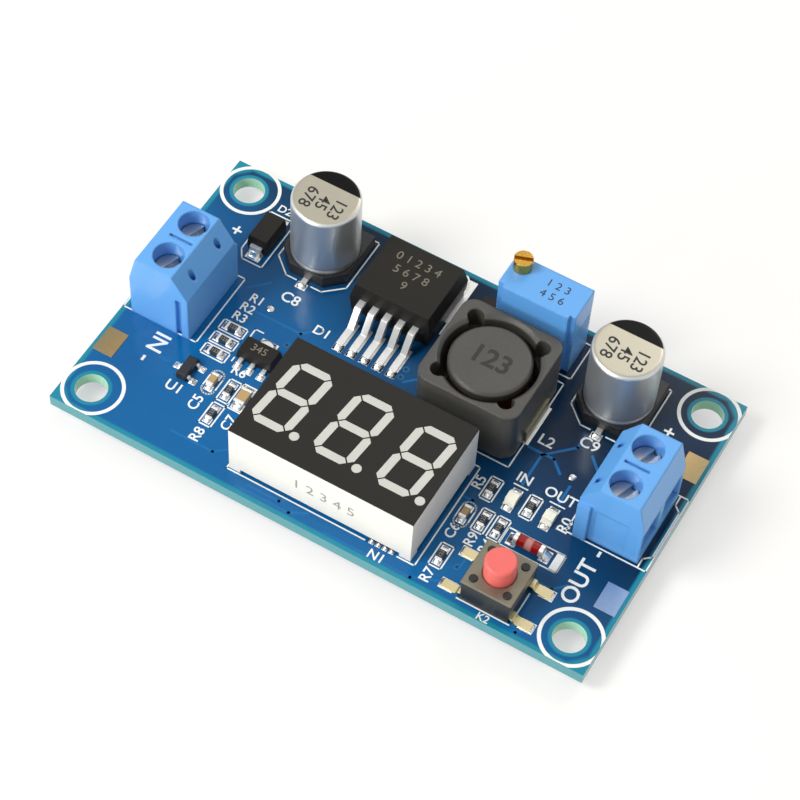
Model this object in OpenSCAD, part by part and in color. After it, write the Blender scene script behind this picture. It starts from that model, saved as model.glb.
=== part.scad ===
// Step-down voltage converter module: a small circuit board with screw terminals,
// a five-lead regulator, a shielded inductor, a trimmer, a three-digit display and a button.
// The origin is under the centre of the board, at the level of the soldered pin ends.
// X runs from the input end to the output end, Z is up, and the display side faces -Y.

/* [Board] */
// Length of the board, along X
board_l = 66; // [65:0.5:80]
// Width of the board, along Y
board_w = 39; // [38.5:0.5:50]
// Thickness of the board
board_t = 1.6; // [1:0.1:2.4]
// Length of the soldered pins below the board
pin_drop = 1.5; // [1.2:0.1:2.5]
// Diameter of the four mounting holes
hole_d = 3.7; // [3.2:0.1:4]
// Distance of the mounting holes from the board's ends
hole_inset_x = 3.3; // [2.5:0.1:3.6]
// Distance of the mounting holes from the board's sides
hole_inset_y = 3.25; // [2.5:0.05:3.6]
// Clearance round each pin in its plated hole
pin_play = 0.15; // [0.05:0.05:0.3]
// Length of the bare wire pads, along X
pad_l = 2.5; // [1.5:0.1:3]
// Width of the bare wire pads, along Y
pad_w = 3.5; // [2:0.1:3.8]
// Distance of the wire pads from the board's ends
pad_inset = 0.4; // [0.2:0.1:1]
// Thickness of the wire pads
pad_t = 0.06; // [0.03:0.01:0.1]
// Diameter of a solder cone at the underside of the board
solder_d = 2.1; // [1.7:0.1:2.4]
// Height of a solder cone
solder_h = 0.9; // [0.5:0.1:1.1]
// Diameter of the two solder dots on top of the board
dot_d = 1; // [0.6:0.1:1.6]
// Diameter of the solder dots at their top
dot_top_d = 0.6; // [0.4:0.1:1]
// Height of the solder dots
dot_h = 0.12; // [0.05:0.01:0.2]
// Thickness of solder round the tip of a pin
solder_tip = 0.05; // [0.02:0.01:0.1]

/* [Screw terminals] */
// Distance between the two poles
pole_pitch = 5.08; // [5:0.01:5.2]
// Length of a terminal block, with its rail
terminal_l = 10.16; // [10.1:0.02:10.6]
// Depth of a terminal block, along X
terminal_d = 7.6; // [7.2:0.1:8.2]
// Height of a terminal block
terminal_h = 10; // [9.9:0.1:12]
// Distance of the wire side from the board's end
terminal_inset = 1.3; // [0.5:0.1:2]
// Height of the wire side up to its slope
wire_side_h = 6.3; // [6:0.1:7]
// Inward lean of the wire side above that height
wire_side_lean = 0.9; // [0.4:0.1:1.2]
// Height of the back up to its bevel
back_h = 7; // [6.6:0.1:8]
// Depth of the bevel at the back
back_bevel = 2; // [1:0.1:2.2]
// Distance of the screw axes from the wire side
pole_x = 3.65; // [3.4:0.05:3.9]
// Diameter of the screw wells
well_d = 3.5; // [3.4:0.1:3.8]
// Height of the wire entries
entry_h = 3.4; // [2.8:0.1:3.6]
// Width of the wire entries
entry_w = 3.4; // [2.8:0.1:3.6]
// Flare of the wire entries at the outside
entry_flare = 0.25; // [0.1:0.05:0.3]
// Width of the groove between the wells
groove_w = 0.35; // [0.2:0.05:0.6]
// Length of the groove between the wells
groove_l = 2.9; // [2:0.1:3.2]
// Width of the interlocking slot
slot_w = 0.65; // [0.4:0.05:0.8]
// Depth of the interlocking slot, and height of the rail
slot_depth = 0.46; // [0.3:0.02:0.5]
// Width of the interlocking rail
rail_w = 1.5; // [1:0.1:1.6]
// Diameter of the screw heads
head_d = 3.25; // [2.9:0.05:3.3]
// Thickness of the screw heads
head_t = 1.5; // [1:0.1:1.8]
// Width of the screw slots
drive_w = 0.7; // [0.4:0.1:0.9]
// Depth of the screw slots
drive_depth = 0.8; // [0.4:0.1:0.9]
// Diameter of the screw shanks
shank_d = 2.4; // [2:0.1:2.5]
// Running clearance round the screw shanks
shank_play = 0.06; // [0.03:0.01:0.1]
// Travel of a screw from closed to open
screw_travel = 1.9; // [1:0.1:1.9]
// Wall of the brass frames
frame_t = 0.5; // [0.4:0.05:0.55]
// Outer width of the brass frames, along Y
frame_w = 3.8; // [3.5:0.05:3.9]
// Length of the brass frames, along X
frame_l = 3.6; // [3:0.1:3.6]
// Thickness of the threaded top of the frames
nut_t = 1.2; // [0.8:0.1:1.4]
// Thickness of the pressure plates
plate_t = 0.5; // [0.3:0.05:0.6]
// Width of the terminal pins
terminal_pin_w = 1; // [0.8:0.1:1.1]
// Play of the brass frames in their chambers
chamber_play = 0.1; // [0.05:0.05:0.2]
// Level of the frames' floor above the board
frame_z = 1.2; // [1:0.1:1.4]
// Thickness of the frames' floor
frame_floor_t = 0.7; // [0.5:0.1:0.9]
// Level of the underside of the screw heads
head_z = 6.4; // [6.2:0.1:6.8]
// Level of the floor of the wire entries
entry_z = 1.8; // [1.6:0.1:2]
// Depth of the flare of the wire entries
flare_depth = 0.6; // [0.3:0.1:0.8]
// Play of the pressure plates in the frames
plate_play = 0.1; // [0.05:0.05:0.15]
// Diameter of the test holes
test_hole_d = 0.8; // [0.6:0.1:1]
// Depth of the groove between the wells
groove_depth = 0.5; // [0.3:0.1:0.8]
// Turn of the screw slots, in degrees
drive_turn = 70; // [0:5:175]

/* [Capacitors] */
// Diameter of the capacitor cans
can_d = 8; // [6.3:0.1:8.2]
// Height of the capacitors
can_h = 10.5; // [7:0.1:12.5]
// Radius of the shoulder at the top of a can
can_shoulder = 0.45; // [0.2:0.05:0.8]
// Depth of the crimp groove
crimp_depth = 0.35; // [0.2:0.05:0.5]
// Height of the crimp above the board
crimp_z = 2.2; // [2:0.1:3]
// Margin of the square base round the can
base_margin = 0.15; // [0.1:0.05:0.2]
// Thickness of the base under the can
base_t = 0.8; // [0.6:0.1:1.1]
// Height of the raised corners of the base
base_corner_h = 1.7; // [1.2:0.1:1.9]
// Chamfer of the two corners at the positive side
base_chamfer = 2; // [1.2:0.1:2.4]
// Width of the capacitor leads
can_lead_w = 0.7; // [0.5:0.1:1]
// Reach of the leads past the base
can_lead_reach = 0.9; // [0.4:0.1:1]
// Thickness of the capacitor leads
can_lead_t = 0.25; // [0.15:0.05:0.35]
// Distance of the leads' inner ends from the middle
can_lead_start = 0.9; // [0.7:0.1:1.4]
// Play of the can in its base
can_play = 0.05; // [0.02:0.01:0.1]

/* [Regulator] */
// Width of the regulator body
reg_w = 10.2; // [9.6:0.1:10.4]
// Depth of the regulator body
reg_d = 8.9; // [8.2:0.1:9]
// Height of the regulator body
reg_h = 4.5; // [4:0.1:5]
// Inward slope of the body above its parting line
reg_draft = 0.42; // [0.2:0.02:0.6]
// Height of the parting line
reg_part_z = 2.4; // [2.2:0.1:2.6]
// Distance between the regulator leads
reg_pitch = 1.7; // [1.6:0.01:1.8]
// Width of the regulator leads
reg_lead_w = 0.8; // [0.6:0.05:0.9]
// Thickness of the regulator leads
reg_lead_t = 0.45; // [0.3:0.05:0.5]
// Reach of the regulator leads
reg_reach = 5.1; // [4.4:0.1:5.2]
// Thickness of the metal tab
tab_t = 1.27; // [1:0.01:1.4]
// Reach of the tab behind the body
tab_reach = 1.3; // [0.8:0.1:1.6]
// Inward slope of the body below its parting line
reg_low_draft = 0.15; // [0.05:0.05:0.3]
// Distance of the leads' shoulders from the body
reg_shoulder = 0.9; // [0.6:0.1:1.2]
// Distance of the leads' feet from the body
reg_foot = 2.4; // [2:0.1:2.8]
// Depth of the leads inside the body
reg_root = 0.6; // [0.4:0.1:1]
// Width of the metal tab inside the body
tab_inner_w = 8.4; // [8:0.1:8.8]
// Width of the metal tab behind the body
tab_w = 10; // [9.4:0.1:10.2]
// Distance of the tab's front edge from the middle of the body
tab_front = 1.8; // [1:0.1:2.5]
// Depth of the tab's wide part inside the body
tab_step = 0.6; // [0.4:0.1:1]
// Chamfer of the tab's corners
tab_chamfer = 0.5; // [0.3:0.1:0.8]

/* [Inductor] */
// Width of the inductor shield
coil_w = 12.3; // [11.6:0.1:12.5]
// Height of the inductor
coil_h = 8; // [6:0.1:10]
// Corner radius of the shield
coil_corner = 1.6; // [1:0.1:2]
// Bore of the shield
coil_bore = 10.9; // [10.6:0.1:11]
// Diameter of the drum core's flanges
drum_d = 9.3; // [8.8:0.1:9.8]
// Thickness of the drum core's flanges
flange_t = 1.3; // [0.8:0.1:1.6]
// Diameter of the drum core's post
post_d = 4.6; // [3.5:0.1:5.5]
// Diameter of the winding
winding_d = 8.5; // [7.5:0.1:8.7]
// Radius of the four notches in the bore
notch_r = 0.95; // [0.7:0.05:1]
// Width of the terminal clips
clip_w = 5.2; // [4:0.1:6]
// Thickness of the terminal clips
clip_t = 0.3; // [0.2:0.05:0.35]
// Height of the terminal clips
clip_h = 1.9; // [1:0.1:3]
// Reach of the terminal clips under the shield
clip_under = 3; // [2:0.1:3.5]
// Chamfer at the mouth of the bore
bore_chamfer = 0.4; // [0.2:0.1:0.6]
// Depth of the four notches
notch_depth = 3; // [2:0.1:4]
// Distance of the notches' middles outside the bore
notch_offset = 0.35; // [0.2:0.05:0.5]
// Distance of the drum's top below the shield's top
drum_gap = 0.25; // [0.1:0.05:0.5]
// Chamfer round the drum's top
drum_chamfer = 0.3; // [0.1:0.1:0.5]
// Clearance between the winding and the post
winding_play = 0.01; // [0.01:0.01:0.05]

/* [Trimmer] */
// Length of the trimmer
trim_l = 9.53; // [9:0.01:9.6]
// Depth of the trimmer
trim_d = 4.83; // [4.4:0.01:4.9]
// Height of the trimmer on its feet
trim_h = 10.2; // [8:0.1:11]
// Height of the trimmer's feet
trim_foot = 0.3; // [0.2:0.05:0.5]
// Thickness of the front cover
trim_cover_t = 0.5; // [0.3:0.05:0.6]
// Inset of the front cover at each end
trim_cover_inset = 0.7; // [0.4:0.05:1]
// Diameter of the trimmer screw
trim_screw_d = 2.19; // [1.8:0.01:2.3]
// Height of the trimmer screw above the housing
trim_screw_h = 1.5; // [1:0.1:1.8]
// Distance of the trimmer screw from the two faces at its corner
trim_screw_inset = 1.3; // [1.2:0.05:1.5]
// Running clearance of the trimmer screw
trim_play = 0.06; // [0.03:0.01:0.1]
// Depth of the trimmer screw inside the housing
trim_screw_depth = 2.5; // [2:0.1:3]
// Step between the screw's head and its shank, in diameter
trim_screw_step = 0.4; // [0.2:0.1:0.6]
// Width of the slot in the trimmer screw
trim_drive_w = 0.45; // [0.3:0.05:0.6]
// Depth of the slot in the trimmer screw
trim_drive_depth = 0.6; // [0.4:0.1:0.8]
// Turn of the slot in the trimmer screw, in degrees
trim_drive_turn = 20; // [0:5:175]
// Length of the trimmer's feet
trim_foot_l = 0.8; // [0.6:0.1:1.2]
// Length of the pins inside the trimmer
trim_pin_h = 1.3; // [1:0.1:2]
// Height of the lowest groove at the trimmer's ends
trim_groove_z = 4.6; // [3:0.1:6]
// Distance between the grooves
trim_groove_pitch = 0.7; // [0.5:0.1:0.9]
// Width of the grooves
trim_groove_w = 0.25; // [0.15:0.05:0.4]
// Depth of the grooves
trim_groove_depth = 0.12; // [0.05:0.01:0.2]

/* [Display] */
// Length of the display
disp_l = 22.5; // [22:0.1:22.8]
// Width of the display
disp_w = 14; // [13:0.1:14.2]
// Height of the display above the board
disp_h = 7.4; // [6.4:0.1:9]
// Height of the feet at the corners
disp_foot_h = 0.6; // [0.55:0.05:0.9]
// Length of the feet at the corners
disp_foot_l = 1.4; // [1:0.1:1.8]
// Wall of the display shell
disp_wall = 0.9; // [0.6:0.1:1.2]
// Thickness of the dark face
face_t = 0.2; // [0.1:0.05:0.3]
// Depth of the lit segments
segment_depth = 1.6; // [1:0.1:2]
// Depth of the open space under the sealing
cavity_h = 1.1; // [0.9:0.1:1.4]
// Distance between the digits
digit_pitch = 7.62; // [7.3:0.01:7.7]
// Height of a digit
digit_h = 9.14; // [8.5:0.01:9.6]
// Width of a digit
digit_w = 4.95; // [4.4:0.05:5.1]
// Width of a segment
segment_w = 0.95; // [0.7:0.05:1.1]
// Gap between two segments
segment_gap = 0.22; // [0.15:0.01:0.3]
// Slant of the digits, in degrees
digit_slant = 6; // [0:1:8]
// Diameter of a decimal point
point_d = 1.1; // [0.8:0.05:1.2]
// Distance between the display pins
pin_pitch = 2.54; // [2.5:0.01:2.6]
// Distance between the two rows of display pins
row_pitch = 10.16; // [10:0.01:10.3]
// Width of the thin pins
thin_pin_w = 0.5; // [0.4:0.05:0.6]
// Length of the display pins inside the sealing
pin_embed = 1.5; // [1:0.1:2]
// Clearance round the decimal points
point_play = 0.02; // [0.01:0.01:0.05]
// Distance of the decimal points from their digits
point_offset = 0.25; // [0.15:0.05:0.4]

/* [Button] */
// Width of the switch body
switch_w = 6; // [5.8:0.1:6.2]
// Height of the switch body with its cover
switch_h = 3.5; // [3.2:0.1:4.3]
// Thickness of the metal cover
cover_t = 0.25; // [0.15:0.05:0.3]
// Diameter of the button
button_d = 3.5; // [3:0.1:3.6]
// Height of the button's top above the board
button_h = 6; // [5:0.1:9.5]
// Radius of the edge round the button's top
button_edge = 0.3; // [0.1:0.05:0.5]
// Travel of the button
button_travel = 0.25; // [0.15:0.05:0.3]
// Clearance round the button
button_play = 0.08; // [0.05:0.01:0.1]
// Diameter of the rivets at the corners
rivet_d = 0.9; // [0.6:0.1:1]
// Distance between the leads on one side
switch_lead_pitch = 4.5; // [4.2:0.1:4.6]
// Width of the switch leads
switch_lead_w = 1.1; // [0.7:0.1:1.1]
// Reach of the switch leads
switch_lead_reach = 2.3; // [1.5:0.1:2.4]
// Thickness of the switch leads
switch_lead_t = 0.2; // [0.1:0.05:0.25]
// Level of the switch leads where they leave the body
switch_lead_z = 0.5; // [0.4:0.1:0.8]
// Run of each bend of the switch leads
switch_lead_bend = 0.3; // [0.2:0.1:0.4]
// Depth of the switch leads inside the body
switch_lead_root = 0.6; // [0.4:0.1:0.8]
// Thickness of the cover's skirts
skirt_t = 0.15; // [0.1:0.05:0.2]
// Height of the cover's skirts
skirt_h = 1.2; // [0.8:0.1:1.6]
// Distance of the skirts' ends from the corners
skirt_inset = 0.6; // [0.4:0.1:1]
// Distance of the rivets from the sides
rivet_inset = 1; // [0.8:0.1:1.2]
// Height of the rivets above the cover
rivet_h = 0.12; // [0.05:0.01:0.2]
// Level of the floor under the snap dome
well_z = 1.2; // [1:0.1:1.4]
// Height of the snap dome beyond the travel
dome_spare = 0.15; // [0.1:0.05:0.2]
// Thickness of the snap dome
dome_t = 0.1; // [0.08:0.01:0.12]
// Radius of the snap dome
dome_r = 2; // [1.8:0.05:2]
// Width of the snap dome's rim
dome_rim = 0.15; // [0.1:0.05:0.3]
// Gap between the snap dome and the button
dome_gap = 0.02; // [0.01:0.01:0.05]
// Radius of the button's plunger
plunger_r = 0.6; // [0.4:0.1:1]
// Level of the button's flange
flange_z = 2.1; // [2:0.1:2.3]
// Width of the button's flange
flange_w = 0.3; // [0.2:0.05:0.4]
// Gap between the flange and the cover
flange_gap = 0.05; // [0.02:0.01:0.1]

/* [Small parts] */
// Length of the flat diodes' bodies
diode_l = 4.3; // [4:0.1:4.6]
// Width of the flat diodes' bodies
diode_w = 2.6; // [2.4:0.1:2.6]
// Height of the flat diodes
diode_h = 2.25; // [1.9:0.05:2.4]
// Width of the flat diodes' leads
diode_lead_w = 1.45; // [1.2:0.05:1.6]
// Thickness of the flat diodes' leads
diode_lead_t = 0.2; // [0.15:0.05:0.25]
// Level of the flat diodes' leads where they leave the body
diode_lead_z = 1; // [0.8:0.1:1.2]
// Reach of the flat diodes' leads
diode_lead_reach = 0.4; // [0.3:0.1:0.6]
// Length of the flat diodes' leads under the body
diode_lead_under = 1; // [0.8:0.1:1.4]
// Depth of the flat diodes' leads inside the body
diode_lead_root = 0.4; // [0.3:0.1:0.6]
// Gap between the flat diodes' bodies and the board
diode_gap = 0.1; // [0.05:0.05:0.15]
// Inward slope of the flat diodes' bodies
diode_draft = 0.15; // [0.05:0.05:0.2]
// Inward slope of every small body below its parting line
low_draft = 0.05; // [0.03:0.01:0.1]
// Length of the glass diode
glass_l = 3.5; // [3.3:0.1:3.7]
// Diameter of the glass diode's caps
glass_d = 1.5; // [1.3:0.05:1.6]
// Length of the glass diode's caps
glass_cap_l = 0.45; // [0.3:0.05:0.6]
// Step between the glass diode's caps and its tube, in diameter
glass_step = 0.1; // [0.05:0.05:0.2]
// Length of a chip resistor or small chip capacitor
chip_l = 1.6; // [1.5:0.05:1.7]
// Width of a chip resistor or small chip capacitor
chip_w = 0.8; // [0.7:0.05:0.9]
// Height of a chip resistor
chip_h = 0.45; // [0.35:0.05:0.6]
// Length of a chip's metal ends
chip_end = 0.3; // [0.2:0.05:0.4]
// Step between a chip's body and its metal ends
chip_step = 0.02; // [0.01:0.01:0.04]
// Length of the large chip capacitor
big_chip_l = 2; // [1.8:0.1:2.2]
// Width of the large chip capacitor
big_chip_w = 1.25; // [1.1:0.05:1.3]
// Height of the chip capacitors
cap_chip_h = 0.8; // [0.6:0.05:1]
// Length of the indicator lamps
lamp_l = 2; // [1.8:0.1:2.2]
// Width of the indicator lamps
lamp_w = 1.25; // [1.1:0.05:1.3]
// Height of the indicator lamps
lamp_h = 0.8; // [0.6:0.05:1]
// Height of the indicator lamps' bases
lamp_base_h = 0.36; // [0.3:0.02:0.5]
// Length of the lenses at their foot
lens_l = 1.32; // [1.1:0.02:1.5]
// Length of the lenses at their top
lens_top_l = 1.08; // [0.8:0.02:1.3]
// Length of the transistor body
transistor_l = 4.5; // [4.3:0.1:4.6]
// Depth of the transistor body
transistor_d = 2.5; // [2.3:0.1:2.6]
// Height of the transistor body
transistor_h = 1.5; // [1.4:0.05:1.6]
// Inward slope of the transistor body
transistor_draft = 0.2; // [0.1:0.05:0.25]
// Distance between the transistor leads
transistor_pitch = 1.5; // [1.4:0.05:1.6]
// Width of the transistor leads
transistor_lead_w = 0.48; // [0.4:0.02:0.54]
// Thickness of the transistor leads
transistor_lead_t = 0.4; // [0.3:0.02:0.42]
// Reach of the transistor leads
transistor_reach = 0.85; // [0.7:0.05:1]
// Width of the transistor tab
transistor_tab_w = 1.7; // [1.5:0.1:1.8]
// Distance of the round end of the tab from the body
transistor_tab_reach = 0.1; // [0.05:0.05:0.3]
// Start of the transistor tab, behind the middle of the body
transistor_tab_start = 0.2; // [0.1:0.1:0.4]
// Length of the small reference body
reference_l = 2.9; // [2.7:0.1:3]
// Depth of the small reference body
reference_d = 1.3; // [1.2:0.1:1.4]
// Height of the small reference body
reference_h = 1.05; // [0.9:0.05:1.1]
// Gap between the reference body and the board
reference_gap = 0.05; // [0.02:0.01:0.1]
// Inward slope of the reference body
reference_draft = 0.1; // [0.05:0.05:0.15]
// Distance of the paired reference leads from the middle
reference_pitch = 0.95; // [0.9:0.05:1]
// Width of the reference leads
reference_lead_w = 0.4; // [0.3:0.05:0.5]
// Reach of the reference leads
reference_reach = 0.6; // [0.5:0.05:0.7]
// Thickness of the leads of the small bodies
small_lead_t = 0.12; // [0.1:0.01:0.15]
// Level of the leads of the small bodies where they leave the body
small_lead_z = 0.45; // [0.4:0.05:0.5]
// Distance of the small leads' shoulders from the body
small_shoulder = 0.12; // [0.1:0.01:0.15]
// Distance of the small leads' feet from the body
small_foot = 0.35; // [0.3:0.05:0.4]
// Depth of the small leads inside the body
small_root = 0.2; // [0.15:0.05:0.3]
// Length of the microcontroller body
micro_l = 6.5; // [6.4:0.1:6.6]
// Depth of the microcontroller body
micro_d = 4.4; // [4.2:0.1:4.5]
// Height of the microcontroller
micro_h = 1.1; // [0.9:0.05:1.2]
// Distance between the microcontroller's leads
micro_pitch = 0.65; // [0.6:0.01:0.66]
// Gap between the microcontroller body and the board
micro_gap = 0.08; // [0.05:0.01:0.1]
// Inward slope of the microcontroller body
micro_draft = 0.1; // [0.05:0.05:0.15]
// Width of the microcontroller's leads
micro_lead_w = 0.24; // [0.2:0.01:0.3]
// Reach of the microcontroller's leads
micro_reach = 1; // [0.8:0.1:1.2]
// Length of a resistor array
array_l = 3.2; // [3:0.1:3.3]
// Depth of a resistor array
array_d = 1.6; // [1.5:0.05:1.7]
// Height of a resistor array
array_h = 0.5; // [0.4:0.05:0.5]
// Diameter of the scallops in a resistor array's edges
scallop_d = 0.3; // [0.2:0.05:0.4]

/* [Hidden] */
$fn = 64;
// How far a cut runs past what it cuts
over = 1;
// How far joined shapes reach into each other
lap = 0.1;

// Top face of the board
top_z = pin_drop + board_t;

// Places of the parts in the middle of the board, from its centre
regulator_at = [-6.1, 12.3];
inductor_at = [7.9, 5.1];
trimmer_at = [9.05, 15.05];
catch_diode_at = [2.75, 14.05];
display_at = [-0.15, -10.05];
array_places = [[7.6, -16.15, 0], [-7.9, -10.05, 90]];
pad_rows = [-10, 9.1];
terminal_y = -0.15;

// Middle of the free strip between each terminal and the display
terminal_back_x = board_l / 2 - terminal_inset - terminal_d;
input_strip_x = (display_at[0] - disp_l / 2 - terminal_back_x) / 2;
output_strip_x = (display_at[0] + disp_l / 2 + terminal_back_x) / 2;

// Places of the parts near the input end
input_capacitor_at = [input_strip_x + 0.35, 12.9];
input_diode_at = [input_strip_x - 6.45, 11.3];
transistor_at = [input_strip_x + 1.55, -3.2];
reference_at = [input_strip_x - 4.25, -8.8];

// Places of the parts near the output end
output_capacitor_at = [output_strip_x + 2.9, 12.4];
switch_at = [output_strip_x + 2.95, -15.2];
glass_diode_at = [output_strip_x + 3.4, -9.05];
lamp_places = [for (x = [-1, 3.5]) [output_strip_x + x, -4.75]];

dot_places = [[input_strip_x - 0.95, 3.2], [output_strip_x + 3.15, 1.25]];
// Each chip resistor: X, Y and turn
resistor_places = [
    for (y = [-1.43, -3.34, -5.18]) [input_strip_x - 3, y, 0],
    for (y = [-8.75, -12.3]) [input_strip_x + 1.1, y, 90],
    for (x = [-2.4, -0.5]) [output_strip_x + x, -8.67, 90],
    [output_strip_x - 3.56, -4.7, 90],
    [output_strip_x + 1.16, -4.53, 90],
    [output_strip_x - 4.1, -14.7, 90]
];
// Each small chip capacitor: X, Y and turn
capacitor_places = [[input_strip_x - 1.07, -8.65, 90], [output_strip_x - 4.45, -8.95, 90]];
big_capacitor_place = [input_strip_x + 2.95, -8.8, 90];

// Screw terminals: levels above the board, in the block's own frame
window_z = frame_z + frame_floor_t;
plate_z = window_z + 2 * plate_play;
shank_l = head_z - plate_z - plate_t;
nut_z = plate_z + plate_t + screw_travel + plate_play;
frame_h = nut_z + nut_t - frame_z;
chamber_h = frame_z + frame_h + chamber_play;
pole_rows = [-pole_pitch / 2, pole_pitch / 2];

// Display: levels above the board
shell_top = disp_h - face_t;
sealing_z = disp_foot_h + cavity_h;
sealing_top = shell_top - segment_depth;
display_columns = [for (i = [-2.5 : 2.5]) i * pin_pitch];

// Button
dome_h = button_travel + dome_spare;
flange_r = button_d / 2 + flange_w;

// Trimmer
trimmer_columns = [-pin_pitch, 0, pin_pitch];
trim_screw_x = trim_screw_inset - trim_l / 2;
trim_screw_y = trim_d / 2 - trim_screw_inset;
trim_shank_d = trim_screw_d - trim_screw_step;

module on_board(place) translate([place[0], place[1], top_z]) children();

module turned(place) on_board(place) rotate([0, 0, place[2]]) children();

// A flat outline in X and Z, made w wide along Y
module upright(w) rotate([90, 0, 0]) linear_extrude(height = w, center = true) children();

module block(l, w, h) translate([-l / 2, -w / 2, 0]) cube([l, w, h]);

module rounded_rect(l, w, r) {
    square([l - 2 * r, w], center = true);
    square([l, w - 2 * r], center = true);
    for (sx = [-1, 1], sy = [-1, 1]) translate([sx * (l / 2 - r), sy * (w / 2 - r)]) circle(r = r);
}

// A moulded body: widest at its parting line and narrower above and below it
module moulded_body(l, w, h, part_z, low, high) {
    intersection() {
        upright(w + over) polygon([
            [low - l / 2, 0], [l / 2 - low, 0], [l / 2, part_z],
            [l / 2 - high, h], [high - l / 2, h], [-l / 2, part_z]
        ]);
        rotate([0, 0, 90]) upright(l + over) polygon([
            [low - w / 2, 0], [w / 2 - low, 0], [w / 2, part_z],
            [w / 2 - high, h], [high - w / 2, h], [-w / 2, part_z]
        ]);
    }
}

// A lead that leaves a body at X = 0, bends down and ends in a flat foot
module gull_lead(w, t, rise, shoulder, foot_x, reach, root) {
    upright(w) polygon([
        [-root, rise], [shoulder - t / 2, rise], [foot_x - t / 2, 0], [reach, 0],
        [reach, t], [foot_x + t / 2, t], [shoulder + t / 2, rise + t], [-root, rise + t]
    ]);
}

// A pin that ends at the lowest level, standing up to height h above the board
module board_pin(w, h) translate([0, 0, -top_z]) block(w, w, top_z + h);

module pin_hole(w) {
    translate([0, 0, -board_t - over]) cylinder(d = w * sqrt(2) + 2 * pin_play, h = board_t + 2 * over);
}

// A cone of solder round a square pin, on the underside of the board
module solder_cone(w) {
    difference() {
        translate([0, 0, -board_t]) rotate([180, 0, 0])
            cylinder(d1 = solder_d, d2 = w * sqrt(2) + 2 * solder_tip, h = solder_h);
        board_pin(w, 0);
    }
}

// Children stand at each through pin of one kind of part
module at_terminal_pins() {
    for (y = pole_rows) {
        at_input() translate([pole_x, y, 0]) children();
        at_output() translate([pole_x, y, 0]) children();
    }
}

module at_trimmer_pins() {
    for (x = trimmer_columns) on_board(trimmer_at) translate([x, 0, 0]) children();
}

module at_display_pins() {
    for (x = display_columns, sy = [-1, 1])
        on_board(display_at) translate([x, sy * row_pitch / 2, 0]) children();
}

module at_mounting_holes() {
    for (sx = [-1, 1], sy = [-1, 1])
        translate([sx * (board_l / 2 - hole_inset_x), sy * (board_w / 2 - hole_inset_y), 0]) children();
}

// Board

module circuit_board() {
    color("#15539b") difference() {
        translate([0, 0, pin_drop]) block(board_l, board_w, board_t);
        at_mounting_holes() translate([0, 0, -over]) cylinder(d = hole_d, h = top_z + 2 * over);
        at_terminal_pins() pin_hole(terminal_pin_w);
        at_trimmer_pins() pin_hole(thin_pin_w);
        at_display_pins() pin_hole(thin_pin_w);
    }
}

module wire_pads() {
    color("#c3a878") for (sx = [-1, 1], y = pad_rows)
        on_board([sx * (board_l / 2 - pad_inset - pad_l / 2), y]) block(pad_l, pad_w, pad_t);
}

module solder_joints() {
    color("#d6d8d8") {
        at_terminal_pins() solder_cone(terminal_pin_w);
        at_trimmer_pins() solder_cone(thin_pin_w);
        at_display_pins() solder_cone(thin_pin_w);
        for (place = dot_places) on_board(place)
            cylinder(d1 = dot_d, d2 = dot_top_d, h = dot_h);
    }
}

// Screw terminals, in a frame with the wire side at X = 0 and the poles along Y

module at_input() {
    translate([terminal_inset - board_l / 2, terminal_y, top_z]) children();
}

module at_output() {
    translate([board_l / 2 - terminal_inset, terminal_y, top_z]) rotate([0, 0, 180]) children();
}

module terminal_profile() {
    polygon([
        [0, 0], [terminal_d, 0], [terminal_d, back_h], [terminal_d - back_bevel, terminal_h],
        [wire_side_lean, terminal_h], [0, wire_side_h]
    ]);
}

// What one pole takes out of the housing
module pole_cavity() {
    translate([pole_x, 0, head_z - chamber_play]) cylinder(d = well_d, h = terminal_h);
    translate([pole_x, 0, 0]) cylinder(d = shank_d + 4 * chamber_play, h = terminal_h);
    translate([pole_x, 0, -over])
        block(frame_l + 2 * chamber_play, frame_w + 2 * chamber_play, chamber_h + over);
    translate([-over, -entry_w / 2, entry_z]) cube([pole_x, entry_w, entry_h]);
    translate([0, 0, entry_z + entry_h / 2]) rotate([0, 90, 0]) block(
        entry_h + 2 * entry_flare, entry_w + 2 * entry_flare, flare_depth);
    // Test hole in the back bevel
    translate([terminal_d - back_bevel / 2, 0, back_h])
        cylinder(d = test_hole_d, h = terminal_h);
}

module terminal_housing() {
    body_l = terminal_l - slot_depth;
    color("#3f86dc") difference() {
        union() {
            translate([0, -slot_depth / 2, 0]) upright(body_l) terminal_profile();
            translate([terminal_d - rail_w, 0, 0])
                cube([rail_w, terminal_l / 2, wire_side_h]);
        }
        for (y = pole_rows) translate([0, y, 0]) pole_cavity();
        translate([pole_x - groove_l / 2, -groove_w / 2, terminal_h - groove_depth])
            cube([groove_l, groove_w, groove_depth + over]);
        translate([terminal_d - rail_w - chamber_play, -terminal_l / 2 - over, -over])
            cube([slot_w, slot_depth + over, wire_side_h + over]);
    }
}

module terminal_frame() {
    color("#d8cfae") translate([pole_x, 0, 0]) {
        difference() {
            translate([0, 0, frame_z]) block(frame_l, frame_w, frame_h);
            translate([0, 0, window_z]) block(frame_l + over, frame_w - 2 * frame_t, nut_z - window_z);
            translate([0, 0, window_z]) cylinder(d = shank_d + 2 * shank_play, h = terminal_h);
        }
        board_pin(terminal_pin_w, frame_z);
    }
}

module pressure_plate() {
    color("#c9ccce") translate([pole_x, 0, plate_z])
        block(frame_l - 4 * plate_play, frame_w - 2 * frame_t - 2 * plate_play, plate_t);
}

module terminal_screw() {
    color("#c4c6ca") translate([pole_x, 0, head_z]) difference() {
        union() {
            cylinder(d = head_d, h = head_t);
            translate([0, 0, -shank_l]) cylinder(d = shank_d, h = shank_l);
        }
        rotate([0, 0, drive_turn]) translate([0, 0, head_t - drive_depth])
            block(head_d + over, drive_w, drive_depth + over);
    }
}

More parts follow.
